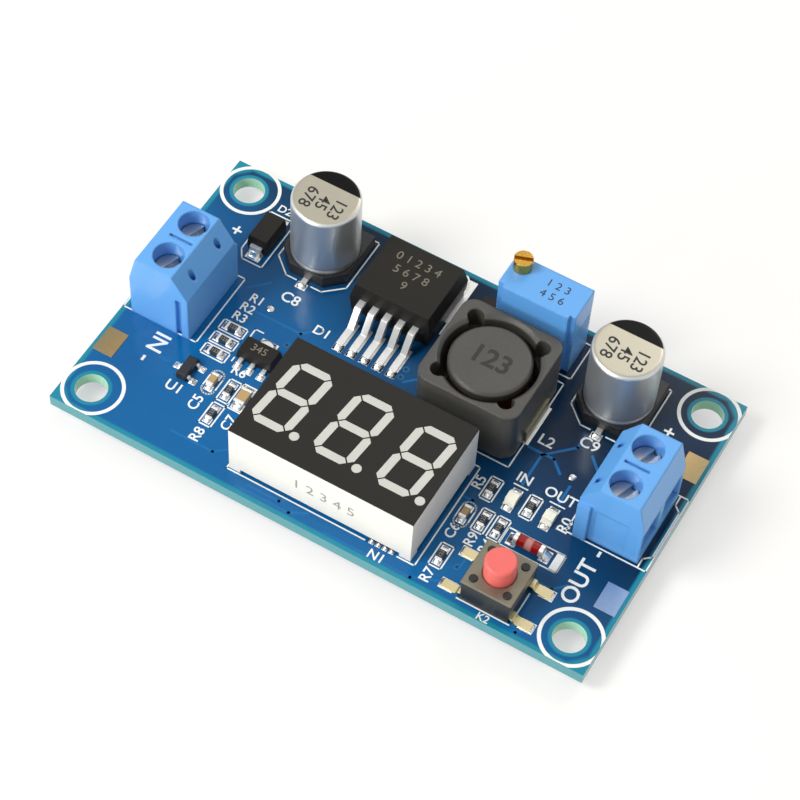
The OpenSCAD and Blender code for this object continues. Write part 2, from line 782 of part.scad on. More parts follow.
module input_terminal_housing() at_input() terminal_housing();
module output_terminal_housing() at_output() terminal_housing();
module input_terminal_frames() for (y = pole_rows) at_input() translate([0, y, 0]) terminal_frame();
module output_terminal_frames() for (y = pole_rows) at_output() translate([0, y, 0]) terminal_frame();
module input_plate_negative() at_input() translate([0, pole_rows[0], 0]) pressure_plate();
module input_plate_positive() at_input() translate([0, pole_rows[1], 0]) pressure_plate();
module output_plate_positive() at_output() translate([0, pole_rows[0], 0]) pressure_plate();
module output_plate_negative() at_output() translate([0, pole_rows[1], 0]) pressure_plate();
module input_screw_negative() at_input() translate([0, pole_rows[0], 0]) terminal_screw();
module input_screw_positive() at_input() translate([0, pole_rows[1], 0]) terminal_screw();
module output_screw_positive() at_output() translate([0, pole_rows[0], 0]) terminal_screw();
module output_screw_negative() at_output() translate([0, pole_rows[1], 0]) terminal_screw();

// Capacitors, with the positive side towards -Y

// Lead channel under the base, and the lead itself
module capacitor_lead(side) {
    base_w = can_d + 2 * base_margin;
    translate([-can_lead_w / 2, side > 0 ? can_lead_start : -base_w / 2 - can_lead_reach, 0])
        cube([can_lead_w, base_w / 2 + can_lead_reach - can_lead_start, can_lead_t]);
}

module capacitor_leads() color("#cfd0cc") for (side = [-1, 1]) capacitor_lead(side);

module capacitor_base() {
    base_w = can_d + 2 * base_margin;
    half = base_w / 2;
    color("#1c1c1e") difference() {
        linear_extrude(height = base_corner_h) polygon([
            [base_chamfer - half, -half], [half - base_chamfer, -half], [half, base_chamfer - half],
            [half, half], [-half, half], [-half, base_chamfer - half]
        ]);
        translate([0, 0, base_t]) cylinder(d = can_d + 2 * can_play, h = base_corner_h);
        for (side = [-1, 1]) capacitor_lead(side);
    }
}

module capacitor_can() {
    r = can_d / 2;
    s = can_shoulder;
    g = crimp_depth;
    foot_z = crimp_z - 2 * g;
    color("#cfd1d0") rotate_extrude() polygon(concat(
        [[0, base_t], [r - g, base_t]],
        [for (a = [-90 : 15 : 90]) [r - g + g * cos(a), foot_z + (foot_z - base_t) * sin(a)]],
        [[r - g, crimp_z - g], [r, crimp_z + g / 2]],
        [for (a = [0 : 15 : 90]) [r - s + s * cos(a), can_h - s + s * sin(a)]],
        [[0, can_h]]
    ));
}

module input_capacitor_can() on_board(input_capacitor_at) capacitor_can();
module output_capacitor_can() on_board(output_capacitor_at) capacitor_can();
module input_capacitor_base() on_board(input_capacitor_at) capacitor_base();
module output_capacitor_base() on_board(output_capacitor_at) capacitor_base();
module input_capacitor_leads() on_board(input_capacitor_at) capacitor_leads();
module output_capacitor_leads() on_board(output_capacitor_at) capacitor_leads();

// Regulator, with its leads towards -Y and its tab towards +Y

module regulator_lead_row() {
    for (i = [-2 : 2]) translate([i * reg_pitch, -reg_d / 2, 0]) rotate([0, 0, -90])
        gull_lead(reg_lead_w, reg_lead_t, reg_part_z - reg_lead_t / 2,
            reg_shoulder, reg_foot, reg_reach, reg_root);
}

module regulator_tab_plate() {
    rear = reg_d / 2 + tab_reach;
    step = reg_d / 2 - tab_step;
    inner = tab_inner_w / 2;
    outer = tab_w / 2;
    linear_extrude(height = tab_t) polygon([
        [-inner, -tab_front], [inner, -tab_front], [inner, step], [outer, step],
        [outer, rear - tab_chamfer], [outer - tab_chamfer, rear], [tab_chamfer - outer, rear],
        [-outer, rear - tab_chamfer], [-outer, step], [-inner, step]
    ]);
}

module regulator_body() {
    color("#2a2727") on_board(regulator_at) difference() {
        moulded_body(reg_w, reg_d, reg_h, reg_part_z, reg_low_draft, reg_draft);
        regulator_lead_row();
        regulator_tab_plate();
    }
}

module regulator_leads() color("#d9dadb") on_board(regulator_at) regulator_lead_row();
module regulator_tab() color("#c8c9c8") on_board(regulator_at) regulator_tab_plate();

// Inductor

module inductor_shield() {
    bore_r = coil_bore / 2;
    color("#4b4a48") on_board(inductor_at) difference() {
        translate([0, 0, clip_t]) linear_extrude(height = coil_h - clip_t)
            rounded_rect(coil_w, coil_w, coil_corner);
        cylinder(r = bore_r, h = coil_h + over);
        translate([0, 0, coil_h - bore_chamfer])
            cylinder(r1 = bore_r, r2 = bore_r + bore_chamfer + lap, h = bore_chamfer + lap);
        for (a = [45 : 90 : 315]) rotate([0, 0, a])
            translate([bore_r + notch_offset, 0, coil_h - notch_depth])
                cylinder(r = notch_r, h = notch_depth + over);
    }
}

module inductor_drum() {
    flange_r = drum_d / 2;
    post_r = post_d / 2;
    drum_h = coil_h - drum_gap;
    color("#56544f") on_board(inductor_at) rotate_extrude() polygon([
        [0, clip_t], [flange_r, clip_t], [flange_r, clip_t + flange_t], [post_r, clip_t + flange_t],
        [post_r, drum_h - flange_t], [flange_r, drum_h - flange_t], [flange_r, drum_h - drum_chamfer],
        [flange_r - drum_chamfer, drum_h], [0, drum_h]
    ]);
}

module inductor_winding() {
    low = clip_t + flange_t;
    color("#b06a35") on_board(inductor_at) translate([0, 0, low]) difference() {
        cylinder(d = winding_d, h = coil_h - drum_gap - flange_t - low);
        translate([0, 0, -over]) cylinder(d = post_d + 2 * winding_play, h = coil_h);
    }
}

module inductor_clips() {
    color("#c9b27c") on_board(inductor_at) for (turn = [0, 180]) rotate([0, 0, turn]) {
        translate([coil_w / 2, -clip_w / 2, 0]) cube([clip_t, clip_w, clip_h]);
        translate([coil_w / 2 - clip_under, -clip_w / 2, 0]) cube([clip_under + clip_t, clip_w, clip_t]);
    }
}

// Trimmer

module trimmer_housing() {
    main_d = trim_d - trim_cover_t;
    color("#3f86dc") on_board(trimmer_at) difference() {
        union() {
            translate([0, trim_cover_t / 2, trim_foot]) block(trim_l, main_d, trim_h - trim_foot);
            translate([-trim_l / 2 + trim_cover_inset, -trim_d / 2, trim_foot])
                cube([trim_l - 2 * trim_cover_inset, trim_cover_t + lap, trim_h - trim_foot]);
            for (sx = [-1, 1]) translate([sx * (trim_l - trim_foot_l) / 2, trim_cover_t / 2, 0])
                block(trim_foot_l, main_d, trim_foot + lap);
        }
        translate([trim_screw_x, trim_screw_y, trim_h - trim_screw_depth - 2 * trim_play])
            cylinder(d = trim_shank_d + 2 * trim_play, h = trim_h);
        for (x = trimmer_columns) translate([x, 0, 0]) block(thin_pin_w, thin_pin_w, trim_pin_h);
        for (sx = [-1, 1], i = [0 : 2])
            translate([sx * trim_l / 2, trim_cover_t / 2, trim_groove_z + i * trim_groove_pitch])
                block(2 * trim_groove_depth, main_d + over, trim_groove_w);
    }
}

module trimmer_screw() {
    color("#c9952c") on_board(trimmer_at) translate([trim_screw_x, trim_screw_y, trim_h]) difference() {
        union() {
            translate([0, 0, trim_play]) cylinder(d = trim_screw_d, h = trim_screw_h - trim_play);
            translate([0, 0, -trim_screw_depth]) cylinder(d = trim_shank_d, h = trim_screw_depth + lap);
        }
        rotate([0, 0, trim_drive_turn]) translate([0, 0, trim_screw_h - trim_drive_depth])
            block(trim_screw_d + over, trim_drive_w, trim_drive_depth + over);
    }
}

module trimmer_pins() color("#cfd0cc") at_trimmer_pins() board_pin(thin_pin_w, trim_pin_h);

// Display

// One segment lying along X, with pointed ends
module segment(l) {
    half = l / 2;
    r = segment_w / 2;
    polygon([[-half, 0], [r - half, -r], [half - r, -r], [half, 0], [half - r, r], [r - half, r]]);
}

module slanted() {
    multmatrix([[1, tan(digit_slant), 0, 0], [0, 1, 0, 0], [0, 0, 1, 0]]) children();
}

module digit() {
    across = digit_w - segment_w;
    tall = (digit_h - segment_w) / 2;
    slanted() {
        for (i = [-1 : 1]) translate([0, i * tall]) segment(across - segment_gap);
        for (sx = [-1, 1], sy = [-1, 1]) translate([sx * across / 2, sy * tall / 2])
            rotate(90) segment(tall - segment_gap);
    }
}

// Every lit window of the face; play opens the round ones
module windows(play) {
    for (i = [-1 : 1]) translate([i * digit_pitch, 0]) {
        digit();
        translate([digit_w / 2 + point_offset, segment_w / 2 - digit_h / 2]) circle(d = point_d + 2 * play);
    }
}

module display_shell() {
    color("#f1efe8") on_board(display_at) difference() {
        block(disp_l, disp_w, shell_top);
        block(disp_l - 2 * disp_foot_l, disp_w + over, disp_foot_h);
        block(disp_l + over, disp_w - 2 * disp_foot_l, disp_foot_h);
        block(disp_l - 2 * disp_wall, disp_w - 2 * disp_wall, sealing_top);
        translate([0, 0, sealing_top - over])
            linear_extrude(height = segment_depth + 2 * over) windows(point_play);
    }
}

module display_face() {
    color("#3a3936") on_board(display_at) translate([0, 0, shell_top]) linear_extrude(height = face_t)
        difference() {
            square([disp_l, disp_w], center = true);
            windows(point_play);
        }
}

module display_segments() {
    color("#d4d2c8") on_board(display_at) translate([0, 0, sealing_top])
        linear_extrude(height = segment_depth + face_t) windows(0);
}

module display_sealing() {
    color("#c9c4b0") on_board(display_at) difference() {
        translate([0, 0, sealing_z])
            block(disp_l - 2 * disp_wall, disp_w - 2 * disp_wall, sealing_top - sealing_z);
        for (x = display_columns, sy = [-1, 1])
            translate([x, sy * row_pitch / 2, 0]) block(thin_pin_w, thin_pin_w, sealing_z + pin_embed);
    }
}

module display_pins() color("#cfd0cc") at_display_pins() board_pin(thin_pin_w, sealing_z + pin_embed);

// Button

module switch_lead_set() {
    for (sx = [0, 180], y = [-0.5, 0.5]) rotate([0, 0, sx])
        translate([switch_w / 2 - skirt_t, y * switch_lead_pitch, 0])
            gull_lead(switch_lead_w, switch_lead_t, switch_lead_z, switch_lead_bend,
                2 * switch_lead_bend, switch_lead_reach + skirt_t, switch_lead_root);
}

module at_rivets() {
    for (sx = [-1, 1], sy = [-1, 1])
        translate([sx * (switch_w / 2 - rivet_inset), sy * (switch_w / 2 - rivet_inset), 0]) children();
}

module switch_base() {
    body_h = switch_h - cover_t;
    color("#3b3a3a") on_board(switch_at) difference() {
        union() {
            block(switch_w - 2 * skirt_t, switch_w, body_h);
            at_rivets() cylinder(d = rivet_d, h = switch_h + rivet_h);
        }
        translate([0, 0, well_z]) cylinder(r = flange_r + button_play, h = switch_h);
        switch_lead_set();
    }
}

module switch_cover() {
    body_h = switch_h - cover_t;
    color("#7d7468") on_board(switch_at) difference() {
        union() {
            translate([0, 0, body_h]) block(switch_w, switch_w, cover_t);
            for (sx = [-1, 1]) translate([sx * (switch_w - skirt_t) / 2, 0, body_h - skirt_h])
                block(skirt_t, switch_w - 2 * skirt_inset, skirt_h + lap);
        }
        cylinder(d = button_d + 2 * button_play, h = switch_h + over);
        at_rivets() cylinder(d = rivet_d, h = switch_h + over);
    }
}

module switch_button() {
    body_h = switch_h - cover_t;
    r = button_d / 2;
    edge = button_edge;
    low = well_z + dome_h + dome_gap;
    color("#e0605c") on_board(switch_at) rotate_extrude() polygon(concat(
        [[0, low], [plunger_r, low], [plunger_r, flange_z], [flange_r, flange_z],
         [flange_r, body_h - flange_gap], [r, body_h - flange_gap]],
        [for (a = [0 : 15 : 90]) [r - edge + edge * cos(a), button_h - edge + edge * sin(a)]],
        [[0, button_h]]
    ));
}

// The snap dome: a shallow cap whose rim stands on the floor of the well
module switch_dome() {
    cap = [for (i = [0 : 8]) [dome_r * i / 8, dome_h * (1 - pow(i / 8, 2))]];
    color("#c4c6ca") on_board(switch_at) translate([0, 0, well_z]) rotate_extrude() polygon(concat(
        cap, [[dome_r - dome_rim, 0]], [for (i = [7 : -1 : 0]) [dome_r * i / 8, max(0, cap[i][1] - dome_t)]]
    ));
}

module switch_leads() color("#cdb878") on_board(switch_at) switch_lead_set();

// Flat diodes, lying along Y

module diode_lead_pair() {
    for (turn = [90, 270]) rotate([0, 0, turn]) translate([diode_l / 2, 0, 0]) upright(diode_lead_w)
        polygon([
            [-diode_lead_root, diode_lead_z], [diode_lead_reach - diode_lead_t, diode_lead_z],
            [diode_lead_reach - diode_lead_t, diode_lead_t], [-diode_lead_under, diode_lead_t],
            [-diode_lead_under, 0], [diode_lead_reach, 0],
            [diode_lead_reach, diode_lead_z + diode_lead_t], [-diode_lead_root, diode_lead_z + diode_lead_t]
        ]);
}

module diode_body() {
    color("#2b2a2a") difference() {
        translate([0, 0, diode_gap])
            moulded_body(diode_w, diode_l, diode_h - diode_gap, diode_lead_z, low_draft, diode_draft);
        diode_lead_pair();
    }
}

module input_diode_body() on_board(input_diode_at) diode_body();
module catch_diode_body() on_board(catch_diode_at) diode_body();
module input_diode_leads() color("#d6d8d8") on_board(input_diode_at) diode_lead_pair();
module catch_diode_leads() color("#d6d8d8") on_board(catch_diode_at) diode_lead_pair();

// Glass diode, lying along X

module glass_diode_tube() {
    color("#b02a28", 0.7) on_board(glass_diode_at) translate([0, 0, glass_d / 2]) rotate([0, 90, 0])
        cylinder(d = glass_d - glass_step, h = glass_l - 2 * glass_cap_l, center = true);
}

module glass_diode_caps() {
    color("#cdd0d2") on_board(glass_diode_at) for (turn = [0, 180]) rotate([0, 0, turn])
        translate([glass_l / 2 - glass_cap_l, 0, glass_d / 2]) rotate([0, 90, 0])
            cylinder(d = glass_d, h = glass_cap_l);
}

// Transistor, with its leads towards -Y and its tab towards +Y

module transistor_lead_set() {
    front = -transistor_d / 2;
    tab_end = transistor_d / 2 + transistor_tab_reach;
    linear_extrude(height = transistor_lead_t) {
        for (i = [-1 : 1])
            translate([i * transistor_pitch - transistor_lead_w / 2, front - transistor_reach])
                square([transistor_lead_w, transistor_reach + small_root]);
        translate([-transistor_lead_w / 2, front]) square([transistor_lead_w, transistor_d]);
        translate([-transistor_tab_w / 2, transistor_tab_start])
            square([transistor_tab_w, tab_end - transistor_tab_start]);
        translate([0, tab_end]) circle(d = transistor_tab_w);
    }
}

module transistor_body() {
    color("#2e2c2b") on_board(transistor_at) difference() {
        moulded_body(transistor_l, transistor_d, transistor_h, small_lead_z, low_draft, transistor_draft);
        transistor_lead_set();
    }
}

module transistor_leads() color("#d6d8d8") on_board(transistor_at) transistor_lead_set();

// Reference: one lead towards -X and two towards +X

module reference_lead_set() {
    for (lead = [[0, -reference_pitch], [0, reference_pitch], [180, 0]]) rotate([0, 0, lead[0]])
        translate([reference_d / 2, lead[1], 0])
            gull_lead(reference_lead_w, small_lead_t, small_lead_z, small_shoulder, small_foot,
                reference_reach, small_root);
}

module reference_body() {
    color("#242424") on_board(reference_at) difference() {
        translate([0, 0, reference_gap]) moulded_body(reference_d, reference_l,
            reference_h - reference_gap, small_lead_z, low_draft, reference_draft);
        reference_lead_set();
    }
}

module reference_leads() color("#d6d8d8") on_board(reference_at) reference_lead_set();

// Indicator lamps, lying along Y

module indicator_bases() {
    color("#eceae0") for (place = lamp_places) on_board(place) block(lamp_w, lamp_l, lamp_base_h);
}

module indicator_lenses() {
    color("#f4f0dc", 0.8) for (place = lamp_places) on_board(place) rotate([0, 0, 90])
        upright(lamp_w) polygon([
            [-lens_l / 2, lamp_base_h], [lens_l / 2, lamp_base_h], [lens_top_l / 2, lamp_h],
            [-lens_top_l / 2, lamp_h]
        ]);
}

// Chips, each lying along X before its turn

module chip_middle(l, w, h) {
    translate([0, 0, chip_step]) block(l - 2 * chip_end, w - 2 * chip_step, h - 2 * chip_step);
}

module chip_end_pair(l, w, h) {
    for (sx = [-1, 1]) translate([sx * (l - chip_end) / 2, 0, 0]) block(chip_end, w, h);
}

module chip_resistors() {
    color("#2c2c2c") for (place = resistor_places) turned(place) chip_middle(chip_l, chip_w, chip_h);
}

module chip_capacitors() {
    color("#a98a5c") {
        for (place = capacitor_places) turned(place) chip_middle(chip_l, chip_w, cap_chip_h);
        turned(big_capacitor_place) chip_middle(big_chip_l, big_chip_w, cap_chip_h);
    }
}

module chip_ends() {
    color("#d6d8d8") {
        for (place = resistor_places) turned(place) chip_end_pair(chip_l, chip_w, chip_h);
        for (place = capacitor_places) turned(place) chip_end_pair(chip_l, chip_w, cap_chip_h);
        turned(big_capacitor_place) chip_end_pair(big_chip_l, big_chip_w, cap_chip_h);
    }
}

// Resistor arrays: four resistors side by side, with scalloped edges
module resistor_arrays() {
    color("#3a3937") for (place = array_places) turned(place) difference() {
        block(array_l, array_d, array_h);
        for (i = [-1.5 : 1.5], sy = [-1, 1])
            translate([(i + 0.5) * array_l / 4, sy * array_d / 2, -over])
                cylinder(d = scallop_d, h = array_h + 2 * over);
    }
}

// Microcontroller under the display

module micro_lead_set() {
    for (i = [-4.5 : 4.5], turn = [90, 270]) translate([i * micro_pitch, 0, 0]) rotate([0, 0, turn])
        translate([micro_d / 2, 0, 0]) gull_lead(micro_lead_w, small_lead_t, small_lead_z,
            small_shoulder, small_foot, micro_reach, small_root);
}

module microcontroller_body() {
    color("#232323") on_board(display_at) difference() {
        translate([0, 0, micro_gap])
            moulded_body(micro_l, micro_d, micro_h - micro_gap, small_lead_z, low_draft, micro_draft);
        micro_lead_set();
    }
}

module microcontroller_leads() color("#d6d8d8") on_board(display_at) micro_lead_set();

circuit_board();
wire_pads();
solder_joints();
input_terminal_housing();
input_terminal_frames();
input_plate_negative();
input_plate_positive();
input_screw_negative();
input_screw_positive();
output_terminal_housing();
output_terminal_frames();
output_plate_negative();
output_plate_positive();
output_screw_negative();
output_screw_positive();
input_capacitor_can();
input_capacitor_base();
input_capacitor_leads();
output_capacitor_can();
output_capacitor_base();
output_capacitor_leads();
regulator_body();
regulator_leads();
regulator_tab();
inductor_shield();
inductor_drum();
inductor_winding();
inductor_clips();
trimmer_housing();
trimmer_screw();
trimmer_pins();
display_shell();
display_face();
display_segments();
display_sealing();
display_pins();
switch_base();
switch_cover();
switch_button();
switch_dome();
switch_leads();
input_diode_body();
input_diode_leads();
catch_diode_body();
catch_diode_leads();
glass_diode_tube();
glass_diode_caps();
transistor_body();
transistor_leads();
reference_body();
reference_leads();
indicator_bases();
indicator_lenses();
chip_resistors();
chip_capacitors();
chip_ends();
resistor_arrays();
microcontroller_body();
microcontroller_leads();
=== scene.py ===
import math

import bmesh
import bpy
from mathutils import Matrix, Vector


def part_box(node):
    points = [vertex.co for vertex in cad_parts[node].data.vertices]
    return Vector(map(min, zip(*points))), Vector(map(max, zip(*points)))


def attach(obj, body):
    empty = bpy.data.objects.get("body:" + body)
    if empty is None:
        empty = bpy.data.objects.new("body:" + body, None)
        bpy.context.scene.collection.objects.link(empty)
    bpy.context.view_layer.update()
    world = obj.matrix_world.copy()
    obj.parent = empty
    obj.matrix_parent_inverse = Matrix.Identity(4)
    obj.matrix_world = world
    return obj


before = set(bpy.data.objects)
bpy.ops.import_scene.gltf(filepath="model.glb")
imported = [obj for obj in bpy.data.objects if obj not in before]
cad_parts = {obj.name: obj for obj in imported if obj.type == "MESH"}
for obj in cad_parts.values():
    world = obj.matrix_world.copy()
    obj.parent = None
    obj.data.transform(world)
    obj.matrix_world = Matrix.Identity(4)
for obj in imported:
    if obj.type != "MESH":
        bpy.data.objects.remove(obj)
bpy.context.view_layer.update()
scene = bpy.context.scene
scene.view_settings.view_transform = "Standard"

# Lengths below are in millimetres, in the row frame, measured up from the board's top face.
MM = 0.001
board_low, board_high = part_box("circuit_board")
TOP = board_high.z
HALF_L = board_high.x / MM
HALF_W = board_high.y / MM

# Places that the drawing of the board gives
HOLE_X = HALF_L - 3.3
HOLE_Y = HALF_W - 3.25
REGULATOR = (-6.1, 12.3)
INDUCTOR = (7.9, 5.1)
TRIMMER = (9.05, 15.05)
INPUT_CAPACITOR = (-17.4, 12.9)
OUTPUT_CAPACITOR = (20.5, 12.4)
DISPLAY = (-0.15, -10.05)
SWITCH = (20.55, -15.2)
INPUT_DIODE = (-24.2, 11.3)
CATCH_DIODE = (2.75, 14.05)
GLASS_DIODE = (21, -9.05)
TRANSISTOR = (-16.2, -3.2)
REFERENCE = (-22, -8.8)
ARRAY = (7.6, -16.15)
LAMPS = [(16.6, -4.75), (21.1, -4.75)]
# Heights of the printed faces
CAN_TOP = 10.5
COIL_TOP = 7.75
REGULATOR_TOP = 4.5
TRIMMER_TOP = 10.2
# Chips: X, Y and whether they lie along Y
RESISTORS = [
    (-20.75, -1.43, False), (-20.75, -3.34, False), (-20.75, -5.18, False),
    (-16.65, -8.75, True), (-16.65, -12.3, True), (14.04, -4.7, True), (15.2, -8.67, True),
    (17.1, -8.67, True), (18.76, -4.53, True), (13.5, -14.7, True),
]
CAPACITORS = [(-18.82, -8.65, True), (13.15, -8.95, True)]
BIG_CAPACITOR = (-14.8, -8.8)


def spot(x, y, z=0.0):
    """A point of the board's drawing, in metres."""
    return Vector((x * MM, y * MM, TOP + z * MM))


# ---- Camera and light ----

# Strength of the surroundings as a light, half the floor's side in metres, and the floor's own glow as a share
SOFT_LIGHT = 0.46
FLOOR_HALF = 2
FLOOR_GLOW = 0.48


def add_camera():
    """A long lens that looks down on the board from its front right corner."""
    camera = bpy.data.cameras.new("camera")
    camera.lens = 113.8
    camera.sensor_width = 36
    camera.clip_start = 0.01
    holder = bpy.data.objects.new("camera", camera)
    scene.collection.objects.link(holder)
    right = Vector((0.86429, 0.50137, 0.04043))
    up = Vector((-0.43575, 0.70616, 0.55809))
    place = Matrix((right, up, right.cross(up))).transposed().to_4x4()
    place.translation = spot(69.618, -138.638, 230.049)
    holder.matrix_world = place
    scene.camera = holder


def add_lamp(name, place, aim, size, power, colour=(1, 1, 1)):
    """A square lamp at place, in metres, that shines towards aim."""
    lamp = bpy.data.lights.new(name, "AREA")
    lamp.shape = "SQUARE"
    lamp.size = size
    lamp.energy = power
    lamp.color = colour
    holder = bpy.data.objects.new(name, lamp)
    scene.collection.objects.link(holder)
    holder.location = place
    holder.rotation_euler = (Vector(aim) - Vector(place)).to_track_quat("-Z", "Y").to_euler()


def background_share(tree):
    """1 where a ray comes from the camera, a mirror or glass, else 0."""
    path = tree.nodes.new("ShaderNodeLightPath")
    first = tree.nodes.new("ShaderNodeMath")
    first.operation = "ADD"
    tree.links.new(path.outputs["Is Camera Ray"], first.inputs[0])
    tree.links.new(path.outputs["Is Glossy Ray"], first.inputs[1])
    second = tree.nodes.new("ShaderNodeMath")
    second.operation = "ADD"
    second.use_clamp = True
    tree.links.new(first.outputs[0], second.inputs[0])
    tree.links.new(path.outputs["Is Transmission Ray"], second.inputs[1])
    return second.outputs[0]


def add_world():
    """White where it is seen, and softer where it lights the part."""
    world = bpy.data.worlds.new("studio")
    world.use_nodes = True
    tree = world.node_tree
    soft = tree.nodes["Background"]
    soft.inputs["Color"].default_value = (1, 0.99, 0.97, 1)
    soft.inputs["Strength"].default_value = SOFT_LIGHT
    white = tree.nodes.new("ShaderNodeBackground")
    white.inputs["Strength"].default_value = 1
    mix = tree.nodes.new("ShaderNodeMixShader")
    tree.links.new(background_share(tree), mix.inputs["Fac"])
    tree.links.new(soft.outputs[0], mix.inputs[1])
    tree.links.new(white.outputs[0], mix.inputs[2])
    tree.links.new(mix.outputs[0], tree.nodes["World Output"].inputs["Surface"])
    scene.world = world


def add_floor():
    """A pale floor that shows white, with soft shadows."""
    bm = bmesh.new()
    bmesh.ops.create_grid(bm, x_segments=1, y_segments=1, size=FLOOR_HALF)
    mesh = bpy.data.meshes.new("floor")
    bm.to_mesh(mesh)
    bm.free()
    floor = bpy.data.objects.new("floor", mesh)
    scene.collection.objects.link(floor)
    material = bpy.data.materials.new("pale_floor")
    material.use_nodes = True
    tree = material.node_tree
    paint = tree.nodes["Principled BSDF"]
    paint.inputs["Base Color"].default_value = (0.96, 0.94, 0.90, 1)
    paint.inputs["Roughness"].default_value = 0.8
    paint.inputs["Specular IOR Level"].default_value = 0.1
    glow = tree.nodes.new("ShaderNodeEmission")
    glow.inputs["Strength"].default_value = 1
    share = tree.nodes.new("ShaderNodeMath")
    share.operation = "MULTIPLY"
    share.inputs[1].default_value = FLOOR_GLOW
    tree.links.new(background_share(tree), share.inputs[0])
    mix = tree.nodes.new("ShaderNodeMixShader")
    tree.links.new(share.outputs[0], mix.inputs["Fac"])
    tree.links.new(paint.outputs[0], mix.inputs[1])
    tree.links.new(glow.outputs[0], mix.inputs[2])
    tree.links.new(mix.outputs[0], tree.nodes["Material Output"].inputs["Surface"])
    mesh.materials.append(material)


add_camera()
add_world()
add_floor()
add_lamp("key", (-0.26, -0.24, 0.40), (0, 0, 0), 0.20, 1.9)
add_lamp("front", (-0.12, -0.50, 0.17), (0, 0, 0), 0.25, 0.9)
add_lamp("back", (0.05, 0.40, 0.35), (0, 0, 0), 0.25, 0.7, (1, 0.97, 0.93))


# ---- Finishes ----


def linear(red, green, blue):
    """A colour given as 0 to 255 on a screen, as the shaders take it."""
    steps = [value / 255 for value in (red, green, blue)]
    return tuple(s / 12.92 if s <= 0.04045 else ((s + 0.055) / 1.055) ** 2.4 for s in steps) + (1,)


def maths(tree, operation, a, b=None, clamp=False):
    """A Math node whose inputs are numbers or sockets."""
    node = tree.nodes.new("ShaderNodeMath")
    node.operation = operation
    node.use_clamp = clamp
    for socket, value in zip(node.inputs, (a, b)):
        if isinstance(value, bpy.types.NodeSocket):
            tree.links.new(value, socket)
        elif value is not None:
            socket.default_value = value
    return node.outputs[0]


def blend_colour(tree, share, a, b):
    """Colour a where share is 0, and b where it is 1."""
    node = tree.nodes.new("ShaderNodeMix")
    node.data_type = "RGBA"
    sockets = [s for s in node.inputs if s.enabled]
    for socket, value in zip(sockets, (share, a, b)):
        if isinstance(value, bpy.types.NodeSocket):
            tree.links.new(value, socket)
        else:
            socket.default_value = value
    return [s for s in node.outputs if s.enabled][0]


def make_grain():
    """Fine mottling that shifts a colour and a roughness a little, with a height for a bump."""
    group = bpy.data.node_groups.new("grain", "ShaderNodeTree")
    for in_out, names in (("INPUT", ("Colour", "Tint", "Scale", "Roughness", "Spread")),
                          ("OUTPUT", ("Colour", "Roughness", "Height"))):
        for name in names:
            kind = "NodeSocketColor" if name == "Colour" else "NodeSocketFloat"
            group.interface.new_socket(name, in_out=in_out, socket_type=kind)
    given = group.nodes.new("NodeGroupInput")
    result = group.nodes.new("NodeGroupOutput")
    place = group.nodes.new("ShaderNodeTexCoord")
    fine = group.nodes.new("ShaderNodeTexNoise")
    fine.inputs["Detail"].default_value = 3
    group.links.new(place.outputs["Object"], fine.inputs["Vector"])
    group.links.new(given.outputs["Scale"], fine.inputs["Scale"])
    broad = group.nodes.new("ShaderNodeTexNoise")
    broad.inputs["Detail"].default_value = 2
    group.links.new(place.outputs["Object"], broad.inputs["Vector"])
    group.links.new(maths(group, "MULTIPLY", given.outputs["Scale"], 0.08), broad.inputs["Scale"])
    both = maths(group, "ADD", fine.outputs["Fac"], broad.outputs["Fac"])
    swing = maths(group, "SUBTRACT", both, 1.0)
    gain = maths(group, "ADD", maths(group, "MULTIPLY", swing, given.outputs["Tint"]), 1.0)
    scaled = group.nodes.new("ShaderNodeVectorMath")
    scaled.operation = "SCALE"
    group.links.new(given.outputs["Colour"], scaled.inputs[0])
    group.links.new(gain, scaled.inputs["Scale"])
    change = maths(group, "MULTIPLY", swing, given.outputs["Spread"])
    rough = maths(group, "ADD", given.outputs["Roughness"], change)
    group.links.new(scaled.outputs[0], result.inputs["Colour"])
    group.links.new(maths(group, "ADD", rough, 0.0, clamp=True), result.inputs["Roughness"])
    group.links.new(fine.outputs["Fac"], result.inputs["Height"])
    return group


GRAIN = make_grain()


def finish(name, colour, roughness, metallic=0.0, tint=0.15, scale=2500, spread=0.1, bump=0.004, edge=0.12,
           specular=0.5, paint=None):
    """A material with grain, a rounded look at its edges of radius edge, and a bump of height bump.
    paint, if given, takes the node tree and the plain colour, and returns the socket of a painted colour."""
    material = bpy.data.materials.new(name)
    material.use_nodes = True
    tree = material.node_tree
    shader = tree.nodes["Principled BSDF"]
    shader.inputs["Metallic"].default_value = metallic
    shader.inputs["Specular IOR Level"].default_value = specular
    grain = tree.nodes.new("ShaderNodeGroup")
    grain.node_tree = GRAIN
    grain.inputs["Colour"].default_value = colour
    grain.inputs["Tint"].default_value = tint
    grain.inputs["Scale"].default_value = scale
    grain.inputs["Roughness"].default_value = roughness
    grain.inputs["Spread"].default_value = spread
    if paint:
        tree.links.new(paint(tree, colour), grain.inputs["Colour"])
    tree.links.new(grain.outputs["Colour"], shader.inputs["Base Color"])
    tree.links.new(grain.outputs["Roughness"], shader.inputs["Roughness"])
    relief = tree.nodes.new("ShaderNodeBump")
    relief.inputs["Distance"].default_value = bump * MM
    tree.links.new(grain.outputs["Height"], relief.inputs["Height"])
    if edge:
        rounding = tree.nodes.new("ShaderNodeBevel")
        rounding.inputs["Radius"].default_value = edge * MM
        tree.links.new(rounding.outputs["Normal"], relief.inputs["Normal"])
    tree.links.new(relief.outputs["Normal"], shader.inputs["Normal"])
    return material


